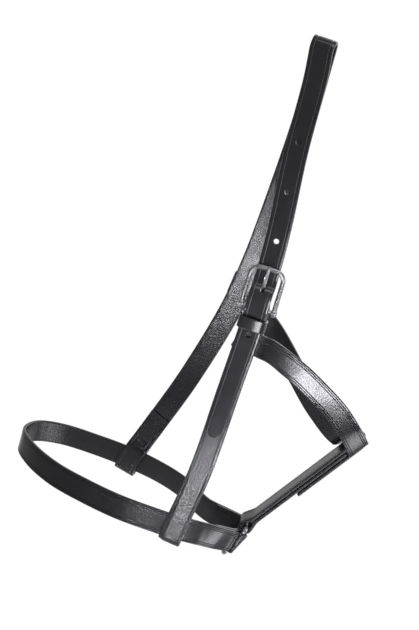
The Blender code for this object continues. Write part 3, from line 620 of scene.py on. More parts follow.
def wrinkle(obj, weight, depth):
    """Raises low wrinkles, slanting across a flat strip's face, where it is worked."""
    for vert in obj.data.vertices:
        if vert.co.z > 0.0:
            u = (vert.co.x * 0.92 + vert.co.y * 0.40) / (2.6 * MM)
            v = (vert.co.y * 0.92 - vert.co.x * 0.40) / (8.0 * MM)
            vert.co.z += noise.noise(Vector((u, v, 0.3))) * depth * weight(vert.co)


def skive(obj, total, length):
    """Pares the face of a flat strip's last stretch down to a thin end."""
    for vert in obj.data.vertices:
        if vert.co.z > 0.0:
            vert.co.z *= 1.0 - SKIVED_AWAY * soft(vert.co.x, total - length, total)


def taper(obj, test, scale):
    """Scales the distance across of vertices of a flat strip by a function of their place."""
    for vert in obj.data.vertices:
        if test(vert.co):
            vert.co.y *= scale(vert.co)


def set_marks(obj, worked=None, seam=None, rough=None):
    """Marks a flat strip's points: how much it is wrinkled, given painted seam shade, and left rough."""
    attribute = obj.data.attributes.new("marks", "FLOAT_VECTOR", "POINT")
    for vert, item in zip(obj.data.vertices, attribute.data):
        item.vector = [rule(vert.co) if rule else 0.0 for rule in (worked, seam, rough)]


# %% Dressing a piece
def dress(obj, node, body, finish, angle=40.0, replaces=True):
    """Gives a piece its finish and body, and hides the CAD node that it stands for."""
    obj.data.materials.clear()
    obj.data.materials.append(finish)
    select_only(obj)
    bpy.ops.object.shade_smooth_by_angle(angle=math.radians(angle))
    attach(obj, body)
    if replaces:
        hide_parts(node)
    print(obj.name, "triangles", sum(len(p.vertices) - 2 for p in obj.data.polygons))


# %% [markdown]
# ## Node groups
#
# The six leathers differ in colour, shine and grain, but share one hide. Its pebbles, swells
# and wrinkles are one node group, and the masks of edge, flesh side and creases another, so
# each is drawn once and placed in every leather with its own values. Image textures could
# show more, but have one size only, while these are drawn in the strip's flat millimetres.


# %% Short hand for nodes
class Nodes:
    """Short hand for adding nodes to a tree."""

    def __init__(self, tree):
        self.tree = tree

    def fill(self, node, values):
        """Sets a node's inputs to values, or links sockets to them."""
        for key, value in values.items():
            if isinstance(value, bpy.types.NodeSocket):
                self.tree.links.new(value, node.inputs[key])
            else:
                node.inputs[key].default_value = value

    def add(self, kind, values=None, **settings):
        """A node with its settings, and its inputs filled."""
        node = self.tree.nodes.new(kind)
        for key, value in settings.items():
            setattr(node, key, value)
        self.fill(node, values or {})
        return node

    def math(self, operation, *values):
        """The result of a Math node."""
        return self.add("ShaderNodeMath", dict(enumerate(values)), operation=operation).outputs[0]

    def vector(self, operation, first, second):
        """The result of a Vector Math node."""
        return self.add("ShaderNodeVectorMath", {0: first, 1: second}, operation=operation).outputs[0]

    def ramp(self, value, low, high, to_low=0.0, to_high=1.0):
        """A smooth step between two values."""
        values = {"Value": value, "From Min": low, "From Max": high, "To Min": to_low, "To Max": to_high}
        return self.add("ShaderNodeMapRange", values, interpolation_type="SMOOTHSTEP").outputs["Result"]

    def mix(self, factor, first, second):
        """A mix of two colours."""
        return self.add("ShaderNodeMix", {0: factor, 6: first, 7: second}, data_type="RGBA").outputs[2]

    def bump(self, height, distance):
        """A normal that shows a height."""
        return self.add("ShaderNodeBump", {"Height": height, "Distance": distance}).outputs[0]


def group(name, numbers, masks):
    """A node group that takes a place in millimetres and numbers, and puts out masks."""
    tree = bpy.data.node_groups.new(name, "ShaderNodeTree")
    tree.interface.new_socket("Millimetres", in_out="INPUT", socket_type="NodeSocketVector")
    for label, value in numbers.items():
        socket = tree.interface.new_socket(label, in_out="INPUT", socket_type="NodeSocketFloat")
        socket.default_value = value
    for label in masks:
        tree.interface.new_socket(label, in_out="OUTPUT", socket_type="NodeSocketFloat")
    nodes = Nodes(tree)
    return tree, nodes, nodes.add("NodeGroupInput").outputs, nodes.add("NodeGroupOutput")


# %% Grain
def make_grain_group():
    """Pebbled leather: cells with soft edges, finer cells, low swells, and slanting wrinkles."""
    tree, nodes, given, end = group("leather_grain", {"Pebble": 1.0}, ("Height", "Swell", "Wrinkles"))
    place = given["Millimetres"]
    warp = nodes.add("ShaderNodeTexNoise", {"Vector": place, "Scale": 0.8, "Detail": 2.0})
    moved = nodes.vector("ADD", place, nodes.vector("MULTIPLY", warp.outputs["Color"], (0.7,) * 3))
    cells = nodes.add("ShaderNodeTexVoronoi", {"Vector": moved, "Scale": 0.62}, feature="SMOOTH_F1")
    small = nodes.add("ShaderNodeTexVoronoi", {"Vector": moved, "Scale": 1.5}, feature="SMOOTH_F1")
    pebble = nodes.math("MULTIPLY", cells.outputs["Distance"], given["Pebble"])
    height = nodes.math("MULTIPLY_ADD", small.outputs["Distance"], 0.35, pebble)
    swell = nodes.add("ShaderNodeTexNoise", {"Vector": place, "Scale": 0.09, "Detail": 3.0})
    aslant = {"Vector": moved, "Rotation": (0.0, 0.0, -0.55), "Scale": (0.52, 0.15, 0.3)}
    turned = nodes.add("ShaderNodeMapping", aslant).outputs[0]
    ridges = nodes.add("ShaderNodeTexNoise", {"Vector": turned, "Scale": 1.0, "Detail": 2.0})
    away = nodes.math("ABSOLUTE", nodes.math("SUBTRACT", ridges.outputs[0], 0.5))
    results = {"Swell": swell.outputs[0], "Wrinkles": nodes.ramp(away, 0.0, 0.16)}
    nodes.fill(end, {"Height": nodes.math("SUBTRACT", 1.0, height), **results})
    return tree


GRAIN = make_grain_group()
print("leather_grain nodes", len(GRAIN.nodes))


# %% Masks of a strip
def make_edge_group():
    """Masks of a strip: its edges, its flesh side, and the crease lines of its face."""
    numbers = {"Half width": 11.0, "First line": 2.3, "Second line": 4.2}
    tree, nodes, given, end = group("strip_masks", numbers, ("Edge", "Flesh", "Crease"))
    parts = nodes.add("ShaderNodeSeparateXYZ", {0: given["Millimetres"]}).outputs
    inward = nodes.math("SUBTRACT", given["Half width"], nodes.math("ABSOLUTE", parts["Y"]))
    lines = []
    for label in ("First line", "Second line"):
        away = nodes.math("ABSOLUTE", nodes.math("SUBTRACT", inward, given[label]))
        lines.append(nodes.ramp(away, 0.5, 0.15))
    face = nodes.ramp(parts["Z"], 0.6, 1.0)
    crease = nodes.math("MULTIPLY", nodes.math("MAXIMUM", *lines), face)
    edge = nodes.ramp(inward, 0.9, 0.35)
    nodes.fill(end, {"Edge": edge, "Flesh": nodes.ramp(parts["Z"], -0.9, -1.3), "Crease": crease})
    return tree


MASKS = make_edge_group()
print("strip_masks nodes", len(MASKS.nodes))

# %% [markdown]
# ## Leather
#
# The leather is black, dyed through and waxed. Its face is pebbled and its flesh side is dull
# and rough. Its edges are rubbed and painted lighter as a sheen, its creases are painted darker
# as shade or, on the long strap, lighter as a highlight, and its seams get painted shade. Vertex
# colours could hold these, but not anything as fine as grain, so the flat places and the marks
# of each piece drive the two node groups.

# %% Leather
# Crease line colours: painted highlight (pale line) and painted shade (dark line).
PAINTED_CREASE_HIGHLIGHT = (0.11, 0.11, 0.12, 1.0)
PAINTED_CREASE_SHADE = (0.004, 0.004, 0.005, 1.0)
FLESH_COLOUR = (0.010, 0.0097, 0.013, 1.0)
# Painted shade along seams and in the noseband's groove.
PAINTED_SEAM_SHADE = (0.002, 0.002, 0.0025, 1.0)
# Rubbed edges: wear and a painted sheen, lighter than the face.
RUBBED_AND_SHEEN_COLOUR = (0.022, 0.021, 0.026, 1.0)
FLESH_GRAIN = 0.14
WRINKLE_HEIGHT = 0.13
CREASE_HEIGHT = -0.08
DULLER_FLESH = 0.09
DULLER_SHADED_LINES = 0.35


def material(name):
    """A new material, its nodes and its shader."""
    made = bpy.data.materials.new(name)
    made.use_nodes = True
    return made, Nodes(made.node_tree), made.node_tree.nodes["Principled BSDF"]


def leather(name, colour, rough, bump, creases, line=PAINTED_CREASE_SHADE, pebble=1.0, width=STRAP_WIDTH):
    """A leather finish on the strip's own flat coordinates."""
    made, nodes, shader = material(name)
    flat = nodes.add("ShaderNodeAttribute", attribute_name="flat").outputs["Vector"]
    place = nodes.vector("MULTIPLY", flat, (1.0 / MM,) * 3)
    marks = nodes.add("ShaderNodeAttribute", attribute_name="marks").outputs["Vector"]
    worked, seam_shade, rough_mark = nodes.add("ShaderNodeSeparateXYZ", {0: marks}).outputs
    pebbles = {"Millimetres": place, "Pebble": pebble}
    grain = nodes.add("ShaderNodeGroup", pebbles, node_tree=GRAIN).outputs
    lines = {"First line": creases[0] / MM, "Second line": creases[-1] / MM}
    strip = {"Millimetres": place, "Half width": width / 2.0 / MM, **lines}
    masks = nodes.add("ShaderNodeGroup", strip, node_tree=MASKS).outputs
    swell = nodes.ramp(grain["Swell"], 0.3, 0.7)
    rough_side = nodes.math("MAXIMUM", masks["Flesh"], rough_mark)
    worn = tuple(min(1.0, c * 1.5) for c in colour[:3]) + (1.0,)
    base = nodes.mix(nodes.math("MULTIPLY", swell, 0.5), colour, worn)
    # Crease lines take the line colour: painted shade in the groove, or on the long strap a painted
    # highlight.
    base = nodes.mix(masks["Crease"], base, line)
    base = nodes.mix(rough_side, base, FLESH_COLOUR)
    # Painted shade along seams and in the noseband's groove.
    base = nodes.mix(seam_shade, base, PAINTED_SEAM_SHADE)
    # Edges lighter: rubbed wear and a painted sheen.
    base = nodes.mix(nodes.math("MULTIPLY", masks["Edge"], 0.5), base, RUBBED_AND_SHEEN_COLOUR)
    level = nodes.math("MULTIPLY_ADD", swell, 0.02, rough - 0.01)
    level = nodes.math("MULTIPLY_ADD", rough_side, DULLER_FLESH, level)
    level = nodes.math("MULTIPLY_ADD", seam_shade, DULLER_SHADED_LINES, level)
    if line == PAINTED_CREASE_SHADE:
        level = nodes.math("MULTIPLY_ADD", masks["Crease"], DULLER_SHADED_LINES, level)
    grain_depth = nodes.math("MULTIPLY_ADD", rough_side, FLESH_GRAIN - bump, bump)
    grain_depth = nodes.math("MULTIPLY", grain_depth, nodes.math("SUBTRACT", 1.0, masks["Edge"]))
    relief = nodes.math("MULTIPLY", grain["Height"], grain_depth)
    relief = nodes.math("MULTIPLY_ADD", masks["Crease"], CREASE_HEIGHT, relief)
    folds = nodes.math("MULTIPLY", worked, grain["Wrinkles"])
    normal = nodes.bump(nodes.math("MULTIPLY_ADD", folds, WRINKLE_HEIGHT, relief), MM)
    nodes.fill(shader, {"Base Color": base, "Roughness": level, "Normal": normal})
    print(name, "nodes", len(nodes.tree.nodes))
    return made


CROWN_CREASES = (3.9 * MM,)
CHEEK_CREASES = (3.4 * MM,)
BAND_CREASES = (2.3 * MM, 4.2 * MM)
KEEPER_CREASES = (1.9 * MM, 4.2 * MM)
THROAT_BLACK = (0.010, 0.0095, 0.0135, 1.0)
NOSE_BLACK = (0.009, 0.0088, 0.012, 1.0)
# The long strap's crease lines get a painted highlight.
SMOOTH_FACE = leather(
    "leather_smooth", (0.0135, 0.0131, 0.0170, 1.0), 0.17, 0.014, CROWN_CREASES, PAINTED_CREASE_HIGHLIGHT
)
CHEEK_FACE = leather("leather_cheek", (0.011, 0.0105, 0.0145, 1.0), 0.30, 0.24, CHEEK_CREASES)
THROAT_FACE = leather("leather_throat", THROAT_BLACK, 0.24, 0.06, BAND_CREASES)
JOWL_FACE = leather("leather_jowl", THROAT_BLACK, 0.30, 0.20, CROWN_CREASES, pebble=0.8)
NOSE_FACE = leather(
    "leather_noseband", NOSE_BLACK, 0.23, 0.04, BAND_CREASES, pebble=0.8, width=NOSEBAND_WIDTH
)
KEEPER_FACE = leather(
    "leather_keeper", NOSE_BLACK, 0.20, 0.006, KEEPER_CREASES, pebble=0.4, width=KEEPER_WIDTH
)

# %% [markdown]
# ## Nickel
#
# The buckle and the ring are nickel plated, worn a little dull, with faint rubbing marks. A
# single grey would look like plastic, so a noise on Object coordinates varies both the tone
# and the shine of a plain metal.


# %% Nickel
def nickel(name):
    """Nickel plate, worn a little dull, with faint rubbing marks."""
    made, nodes, shader = material(name)
    place = nodes.add("ShaderNodeTexCoord").outputs["Object"]
    marks = nodes.add("ShaderNodeTexNoise", {"Vector": place, "Scale": 260.0, "Detail": 3.0}).outputs[0]
    level = nodes.ramp(marks, 0.35, 0.75, 0.26, 0.34)
    tone = nodes.mix(marks, (0.23, 0.23, 0.24, 1.0), (0.30, 0.30, 0.31, 1.0))
    nodes.fill(shader, {"Roughness": level, "Base Color": tone, "Metallic": 1.0})
    print(name, "nodes", len(nodes.tree.nodes))
    return made


NICKEL = nickel("nickel_plate")

# %% [markdown]
# ## Thread
#
# The folded ends are sewn by hand with black waxed thread: short stitches that lie aslant in
# two rows. They could be bumps in the finish, but real stitches stand proud and catch light.
# So one stitch is modelled, and each seam is made of copies laid on the flat strip and then
# bent with it, so that a row follows its strap exactly.

# %% Thread
STITCH_PITCH = 4.2 * MM
STITCH_HALF = Vector((1.85, 0.55, 0.30)) * MM
STITCH_SLANT = math.radians(16.0)
STITCH_SUNK = 0.05 * MM


def make_thread():
    """Black waxed linen, twisted, with a dull shine."""
    made, nodes, shader = material("thread_waxed")
    place = nodes.add("ShaderNodeTexCoord").outputs["Object"]
    wave = {"Vector": place, "Scale": 900.0, "Distortion": 2.0}
    twist = nodes.add("ShaderNodeTexWave", wave).outputs["Fac"]
    tone = nodes.mix(twist, (0.003, 0.003, 0.004, 1.0), (0.009, 0.009, 0.010, 1.0))
    normal = nodes.bump(twist, 0.1 * MM)
    nodes.fill(shader, {"Base Color": tone, "Normal": normal, "Roughness": 0.62})
    return made


def make_stitch():
    """One stitch, lying along x on z = 0."""
    size = {"segments": 10, "ring_count": 6, "radius": 1.0, "location": (0.0, 0.0, 0.0)}
    obj = start_mesh(bpy.ops.mesh.primitive_uv_sphere_add, "stitch", **size)
    mode("EDIT")
    select_all()
    bpy.ops.transform.rotate(
        value=math.pi / 2.0, orient_axis="Y", center_override=(0.0, 0.0, 0.0)
    )
    bpy.ops.transform.resize(value=tuple(STITCH_HALF))
    mode("OBJECT")
    return obj


THREAD = make_thread()
STITCH = make_stitch()
print("stitch", [round(side, 4) for side in STITCH.dimensions])


# %% Seams
def sew(name, bend, places, body, slot):
    """Lays copies of the stitch at (along, across, above, slant, size), joins and bends them."""
    bpy.ops.object.select_all(action="DESELECT")
    for along, side, above, slant, size in places:
        copy = STITCH.copy()
        copy.data = STITCH.data.copy()
        bpy.context.scene.collection.objects.link(copy)
        turn = Matrix.Rotation(slant, 4, "Z") @ Matrix.Diagonal((size, size, size, 1.0))
        copy.matrix_world = Matrix.Translation((along, side, above)) @ turn
        copy.select_set(True)
        bpy.context.view_layer.objects.active = copy
    bpy.ops.object.join()
    obj = bpy.context.object
    obj.name = obj.data.name = name
    settle(obj)
    bend.bend(obj)
    dress(obj, slot, body, THREAD, replaces=False)
    print(name, "stitches", len(places))


def rows(turn, near, far, side, ways=(-1.0, 1.0), above=LEATHER / 2.0):
    """Places of two rows of stitches on the plies before and after a fold's turn."""
    count = int((far - near) / STITCH_PITCH) + 1
    places = []
    for way in ways:
        for y in (-side, side):
            for number in range(count):
                along = turn + way * (near + number * STITCH_PITCH)
                places.append((along, y, above, STITCH_SLANT * (1.0 if y > 0.0 else -1.0), 1.0))
    return places


# %% [markdown]
# ## Crown strap
#
# The long strap with the billet at one end. It starts at the billet's blunt point, passes
# over the heel bar, bends behind the buckle's top bar, goes over the crown and down the far
# side to its loop round the noseband. It could be modelled in parts, billet, crown and far
# cheek, but a joint would show in its one unbroken highlight, so it is one strip. The holes
# are punched while it is flat, and the one that holds the prong is pulled longer.


# %% Crown strap's line
def band_loop(crossing, tail):
    """Side view of a strap's loop round the noseband, from the strap to its tail's end."""
    bottom = crossing + lay.loop_drop
    straight = lay.loop_straight
    loop = fold(lay.band_radius, straight, straight + SEAM_SPREAD, lay.ply, tail)
    return [(bottom - along, out) for along, out in reversed(loop)]


def crown_stations():
    """Stations of the long strap from the billet's point to the far loop's tail."""
    over, behind = lay.billet_over_bar, lay.behind_bar
    middle, drop = (behind + over) / 2.0, over - behind
    rise = PRONG_HOLE_RISE
    step = 4.5 * MM
    seat = KEEPER_DROP - KEEPER_WIDTH / 2.0
    side_view = [
        (-BILLET_LENGTH, lay.billet_out),
        (-seat, lay.billet_out),
        (-seat * 0.25, over),
        (rise - 2.0 * step, over),
        (rise - step, over - 0.08 * drop),
        (rise - step * 0.4, middle + 0.32 * drop),
        (rise + step * 0.4, middle - 0.32 * drop),
        (rise + step, behind + 0.08 * drop),
        (rise + 2.0 * step, behind),
        (lay.top_bar_rise + BUCKLE_WIRE, behind),
        (lay.top_bar_rise + 5.0 * BUCKLE_WIRE, 0.0),
        (lay.heel, 0.0),
    ]
    stations = [lay.near.place(lay.heel - along, out) for along, out in resample(side_view)]
    for number in range(1, 24):
        angle = math.pi * number / 24
        y = -lay.crown_radius * math.cos(angle)
        z = lay.crown_radius * math.sin(angle) - CROWN_INNER_RADIUS
        stations.append((Vector((0.0, y, z)), Vector((1.0, 0.0, 0.0))))
    far_view = [
        (0.0, 0.0),
        (THROAT_FAR_DROP - STRAP_WIDTH, 0.0),
        (lay.far_band + lay.loop_drop - FAR_TAIL_LENGTH, lay.ply),
        *band_loop(lay.far_band, FAR_TAIL_LENGTH),
    ]
    return stations + [lay.far.place(length, out) for length, out in resample(far_view)]


crown_bend = Bend(crown_stations(), face=-1.0)
print("crown strap", round(crown_bend.total, 4), "long")


# %% Billet point and holes
def tip_share(along, cuts):
    """Share of the half width that the billet's point keeps, rounded at its corners."""
    reach = 1.6 * MM
    places, shares = zip(*cuts)
    return float(np.mean(np.interp([along - reach, along, along + reach], places, shares)))


def cylinder(name, radius, depth, vertices, **place):
    """A cylinder to shape further."""
    size = {"vertices": vertices, "radius": radius, "depth": depth}
    return start_mesh(bpy.ops.mesh.primitive_cylinder_add, name, **size, **place)


def hole_cutter(along, slot_length, squeeze):
    """A punch through a flat strip, with a chamfer where leather gives way round the hole."""
    tool = cylinder("punch", HOLE_DIAMETER / 2.0, LEATHER, 24, location=(0.0, 0.0, 0.0))
    mode("EDIT")
    select_in_edit(tool, lambda vert: vert.co.z > 0.0)
    bpy.ops.mesh.extrude_region_move(TRANSFORM_OT_translate={"value": (0.0, 0.0, 0.6 * MM)})
    bpy.ops.transform.resize(value=(1.25, 1.25, 1.0))
    select_all()
    bpy.ops.transform.resize(value=(1.0, squeeze, 1.0), center_override=(0.0, 0.0, 0.0))
    shift(0.0, 0.0, -0.35 * MM)
    for side in (-1.0, 1.0):
        select_in_edit(tool, lambda vert, s=side: vert.co.x * s > 1e-6)
        shift(side * (slot_length - HOLE_DIAMETER) / 2.0, 0.0, 0.0)
    select_all()
    shift(along, 0.0, 0.0)
    mode("OBJECT")
    return tool


crown = flat_strip("crown_strap_leather", crown_bend.total, CROWN_CREASES)
fore_cuts = [(0.0, 0.33), (BILLET_POINT * 0.42, 0.98), (BILLET_POINT, 1.0)]
rear_cuts = [(0.0, 0.14), (BILLET_POINT * 0.42, 0.70), (BILLET_POINT, 1.0)]
taper(
    crown,
    lambda co: co.x < BILLET_POINT * 1.2,
    lambda co: tip_share(co.x, fore_cuts if co.y > 0.0 else rear_cuts),
)
prong_height = lay.near.place(lay.heel - PRONG_HOLE_RISE, 0.0)[0].z
rising = crown_bend.points[: int(np.argmax(crown_bend.points[:, 2])), 2]
prong_along = float(np.interp(prong_height, rising, crown_bend.length[: len(rising)]))
punches = []
for number in range(-HOLES_BELOW_PRONG, HOLES_ABOVE_PRONG + 1):
    slot_length, squeeze = (HOLE_DIAMETER, 1.0) if number else (PULLED_HOLE_LENGTH, PULLED_HOLE_SQUEEZE)
    punches.append(hole_cutter(prong_along + number * HOLE_SPACING, slot_length, squeeze))
combine(crown, "DIFFERENCE", punches)
print("holes", len(punches), "prong's hole at", round(prong_along, 4))

# %% Crown strap finished
FAR_SKIVED = 46.0 * MM
tail_start = crown_bend.total - FAR_TAIL_LENGTH
skive(crown, crown_bend.total, FAR_SKIVED)
set_marks(crown, rough=lambda co: soft(co.x, tail_start + 8.0 * MM, tail_start + 30.0 * MM))
crown_bend.bend(crown)
dress(crown, "crown_strap", "halter", SMOOTH_FACE)
far_turn = crown_bend.length_of(np.argmin(crown_bend.points[:, 2]))
far_rows = rows(far_turn, 42.0 * MM, 70.0 * MM, SEAM_ROW, above=LEATHER / 2.0 - STITCH_SUNK)
sew("far_loop_thread", crown_bend, far_rows, "halter", "crown_strap")

# %% [markdown]
# ## Near cheek
#
# Folded round the buckle's heel bar at its top, with a slot for the prong, and round the
# noseband at its bottom. Both folded ends are sewn flat to the strap, which makes it stiff and
# wrinkles its lower face. It could be two loops joined by a straight, but real leather is one
# piece, and its grain and creases run round both folds without a break.


# %% Near cheek's line
def cheek_stations():
    """Stations of the near cheek, from the chape's tail to the loop's tail."""
    spread = KEEPER_DROP - KEEPER_WIDTH / 2.0 - SEAM_GAP
    chape = fold(lay.chape_radius, 0.0, spread, lay.ply, CHAPE_LENGTH)
    chape = [(lay.heel + along, out) for along, out in chape]
    line = chape + band_loop(lay.near_band, NEAR_TAIL_LENGTH)
    return [lay.near.place(length, out) for length, out in resample(line)]


def slot_cutter(start, end, width):
    """A slot with round ends through a flat strip."""
    tool = cylinder("slot", width / 2.0, LEATHER * 3.0, 20, location=(0.0, 0.0, 0.0))
    mode("EDIT")
    for side, place in ((-1.0, start + width / 2.0), (1.0, end - width / 2.0)):
        select_in_edit(tool, lambda vert, s=side: abs(vert.co.x) < width and vert.co.x * s > 1e-6)
        shift(place, 0.0, 0.0)
    mode("OBJECT")
    return tool


cheek_bend = Bend(cheek_stations(), face=1.0)
cheek = flat_strip("near_cheek_leather", cheek_bend.total, CHEEK_CREASES, 1.4 * MM)
chape_turn = cheek_bend.length_of(np.argmax(cheek_bend.points[:, 2]))
near_turn = cheek_bend.length_of(np.argmin(cheek_bend.points[:, 2]))
slot_reach = KEEPER_DROP - KEEPER_WIDTH / 2.0
slot_width = PRONG_WIDTH + 2.0 * PRONG_SLOT_ROOM
combine(
    cheek, "DIFFERENCE", [slot_cutter(chape_turn - slot_reach, chape_turn + slot_reach, slot_width)]
)
print("near cheek", round(cheek_bend.total, 4), "long")

# %% Near cheek's wrinkles and seams
WORKED_ZONE = (-30.0, 6.0, 52.0, 78.0)
DIPPED_ZONE = (-14.0, -4.0, 34.0, 48.0)
SEAM_SHADE_ZONE = (30.0, 36.0, 72.0, 76.0)
CHEEK_WRINKLE = 0.3 * MM
CHEEK_DIP = 1.3 * MM
SHADED_SEAM_ROW = 8.3 * MM


def worked(co):
    """How much the cheek is wrinkled at a flat place: from its seam round its loop."""
    return within(near_turn - co.x, WORKED_ZONE)


def seam_shade(co):
    """Painted shade: the dark line laid along the near cheek's seams."""
    line = soft(abs(abs(co.y) - SHADED_SEAM_ROW), 1.1 * MM, 0.3 * MM)
    return within(near_turn - co.x, SEAM_SHADE_ZONE) * line if co.z > 0.0 else 0.0


wrinkle(cheek, worked, CHEEK_WRINKLE)
for vert in cheek.data.vertices:
    rear_edge = soft(-vert.co.y, 5.5 * MM, 10.5 * MM)
    vert.co.z -= CHEEK_DIP * within(near_turn - vert.co.x, DIPPED_ZONE) * rear_edge
skive(cheek, cheek_bend.total, 16.0 * MM)
# The seam mark lays painted shade along the seams.
set_marks(cheek, worked=worked, seam=seam_shade)
cheek_bend.bend(cheek)
dress(cheek, "near_cheek", "halter", CHEEK_FACE)
near_rows = rows(near_turn, 34.0 * MM, 72.0 * MM, SEAM_ROW)
near_rows += [
    (near_turn - 73.0 * MM, y, LEATHER / 2.0, 0.9, 0.9) for y in (-SHADED_SEAM_ROW, SHADED_SEAM_ROW)
]
sew("near_loop_thread", cheek_bend, near_rows, "halter", "near_cheek")
chape_rows = rows(chape_turn, 25.0 * MM, 53.0 * MM, SEAM_ROW, (-1.0,), LEATHER / 2.0 - STITCH_SUNK)
sew("chape_thread", cheek_bend, chape_rows, "halter", "near_cheek")

# %% [markdown]
# ## Keeper
#
# A short band of thin leather round the billet and both plies of the cheek, which keeps the
# billet's end down. Its ends meet behind the cheek. It could be a rounded frame cut from a
# block, but it is a strap too, so it is one more flat strip, bent round four corners, with a
# slightly arched face.

# %% Keeper
KEEPER_ARCH = 1.1 * MM
KEEPER_ARCH_RADIUS = 38.0 * MM
KEEPER_END_GAP = 0.1 * MM
KEEPER_ROUNDING = 0.6 * MM
KEEPER_STEP = 0.9 * MM


def keeper_stations():
    """Stations round the keeper, from the middle of its back and round to it again."""
    room = KEEPER_ROOM + KEEPER_LEATHER / 2.0
    inner = -(lay.ply + LEATHER / 2.0 + room)
    outer = lay.billet_out + LEATHER / 2.0 + room
    corner = KEEPER_CORNER
    side = STRAP_WIDTH / 2.0 + room - corner
    outline = [(KEEPER_END_GAP, inner)]
    outline += arc((side, inner + corner), corner, -90.0, 0.0)
    outline += arc((side, outer - corner), corner, 0.0, 90.0)
    arch_centre = (0.0, outer - KEEPER_ARCH_RADIUS + KEEPER_ARCH)
    outline += arc(arch_centre, KEEPER_ARCH_RADIUS, 78.0, 102.0)
    outline += arc((-side, outer - corner), corner, 90.0, 180.0)
    outline += arc((-side, inner + corner), corner, 180.0, 270.0)
    outline.append((-KEEPER_END_GAP, inner))
    point, down, across, out = lay.near.frame(lay.heel + KEEPER_DROP)
    return [(point + across * a + out * b, down) for a, b in resample(outline)]


keeper_bend = Bend(keeper_stations(), face=-1.0, passes=10)
keeper = flat_strip(
    "keeper_leather",
    keeper_bend.total,
    KEEPER_CREASES,
    width=KEEPER_WIDTH,
    thickness=KEEPER_LEATHER,
    rounding=KEEPER_ROUNDING,
    step=KEEPER_STEP,
)
set_marks(keeper)
keeper_bend.bend(keeper)
dress(keeper, "keeper", "halter", KEEPER_FACE)

# %% [markdown]
# ## Noseband
#
# One strap round the nose. Its ends are folded round the ring's side bars and sewn, and a
# slanting groove, darkened with painted shade, shows where the near fold begins. It could be a
# band cut from a tube, but the noseband leans and its depth changes all the way round, so it
# follows a line with its own direction across at each point.


# %% Noseband
def noseband_stations():
    """Stations of the noseband, from one folded end to the other."""
    near_up = -lay.near.frame(lay.near_band)[1]
    far_up = -lay.far.frame(lay.far_band)[1]
    near, front, far = (
        [(vec(point), leaned(angle)) for point, angle in part]
        for part in (NOSE_NEAR, NOSE_FRONT, NOSE_FAR)
    )
    knots = [
        (lay.ring_band - RING_ACROSS * lay.ring_half_width, lay.ring_up),
        *near,
        (NEAR_CROSSING, Vector((0.0, near_up.y, near_up.z))),
        *front,
        (FAR_CROSSING, Vector((0.0, far_up.y, far_up.z))),
        *far,
        (lay.ring_band + RING_ACROSS * lay.ring_half_width, lay.ring_up),
    ]
    points = [point for point, across in knots]
    acrosses = [(index, across.normalized()) for index, (point, across) in enumerate(knots)]
    course = Course(points, acrosses, 1.0, oblique=True)
    total = course.lengths[-1]
    end = fold(lay.ring_fold, 0.0, lay.ring_fold * 2.2, lay.ply, RING_TAIL_LENGTH)
    end.append((RING_TAIL_LENGTH * 0.75, lay.ply))
    view = end + [(RING_TAIL_LENGTH * 1.3, 0.0), (total - RING_TAIL_LENGTH * 1.3, 0.0)]
    view += [(total - along, out) for along, out in reversed(end)]
    return [course.place(along, out) for along, out in resample(view)]


nose_bend = Bend(noseband_stations(), face=-1.0)
nose = flat_strip(
    "noseband_leather", nose_bend.total, BAND_CREASES, 1.5 * MM, width=NOSEBAND_WIDTH
)
ring_turn = nose_bend.length_of(np.argmax(nose_bend.points[: len(nose_bend.points) // 3, 0]))
print("noseband", round(nose_bend.total, 4), "long")

# %% Noseband's groove and seams
GROOVE_DEPTH = 1.9 * MM
NOSE_ROW = 9.6 * MM


def seam_place(co):
    """Distance of a flat place from the slanting seam by the ring, on the outer face."""
    down = 0.5 + co.y / NOSEBAND_WIDTH
    return abs(co.x - ring_turn - (9.4 - 4.6 * down) * MM) + (0.0 if co.z > 0.0 else 1.0)


for vert in nose.data.vertices:
    vert.co.z -= GROOVE_DEPTH * soft(seam_place(vert.co), 2.2 * MM, 0.9 * MM)
# The seam mark paints shade into the slanting groove.
set_marks(nose, seam=lambda co: soft(seam_place(co), 2.4 * MM, 1.3 * MM))
nose_bend.bend(nose)
dress(nose, "noseband", "halter", NOSE_FACE)
nose_rows = rows(ring_turn, 13.0 * MM, 26.0 * MM, NOSE_ROW, (-1.0,))
nose_rows += rows(nose_bend.total - ring_turn, 13.0 * MM, 26.0 * MM, NOSE_ROW)
sew("noseband_thread", nose_bend, nose_rows, "halter", "noseband")

# %% [markdown]
# ## Throat strap
#
# From between the near cheek and the head, round under the throat, to the far cheek. It
# hangs edge down, turns sharply where the jowl strap's loop holds it, and is squeezed
# narrower and thinner inside that loop. A cloth simulation could hang it, but this leather
# holds the set it was worn to, so its line is measured and joined smoothly to both cheeks.


# %% Throat strap's line
def blend_path(head, free, tail, step):
    """A smooth run through free stations, joined to fixed stations at both ends."""
    knots = [head[-1], *free, tail[0]]
    points = [head[-2][0]] + [point for point, across in knots] + [tail[1][0]]
    curve = smooth_curve(points, step)
    marks = [nearest(curve, point) for point, across in knots]
    stations = []
    for index in range(marks[0] + 1, marks[-1]):
        knot = max(number for number in range(len(marks) - 1) if marks[number] <= index)
        share = (index - marks[knot]) / (marks[knot + 1] - marks[knot])
        across = knots[knot][1].normalized().lerp(knots[knot + 1][1].normalized(), share)
        stations.append((curve[index], across.normalized()))
    return [*head, *stations, *tail]


def on_cheek(course, length, slope):
    """A point on a cheek, its outward direction, and a sloping strap's directions there."""
    point, down, across, out = course.frame(length)
    rear = (across * math.cos(slope) + down * math.sin(slope)).normalized()
    up = out.cross(rear)
    return point, out, rear, -up if up.z < 0.0 else up


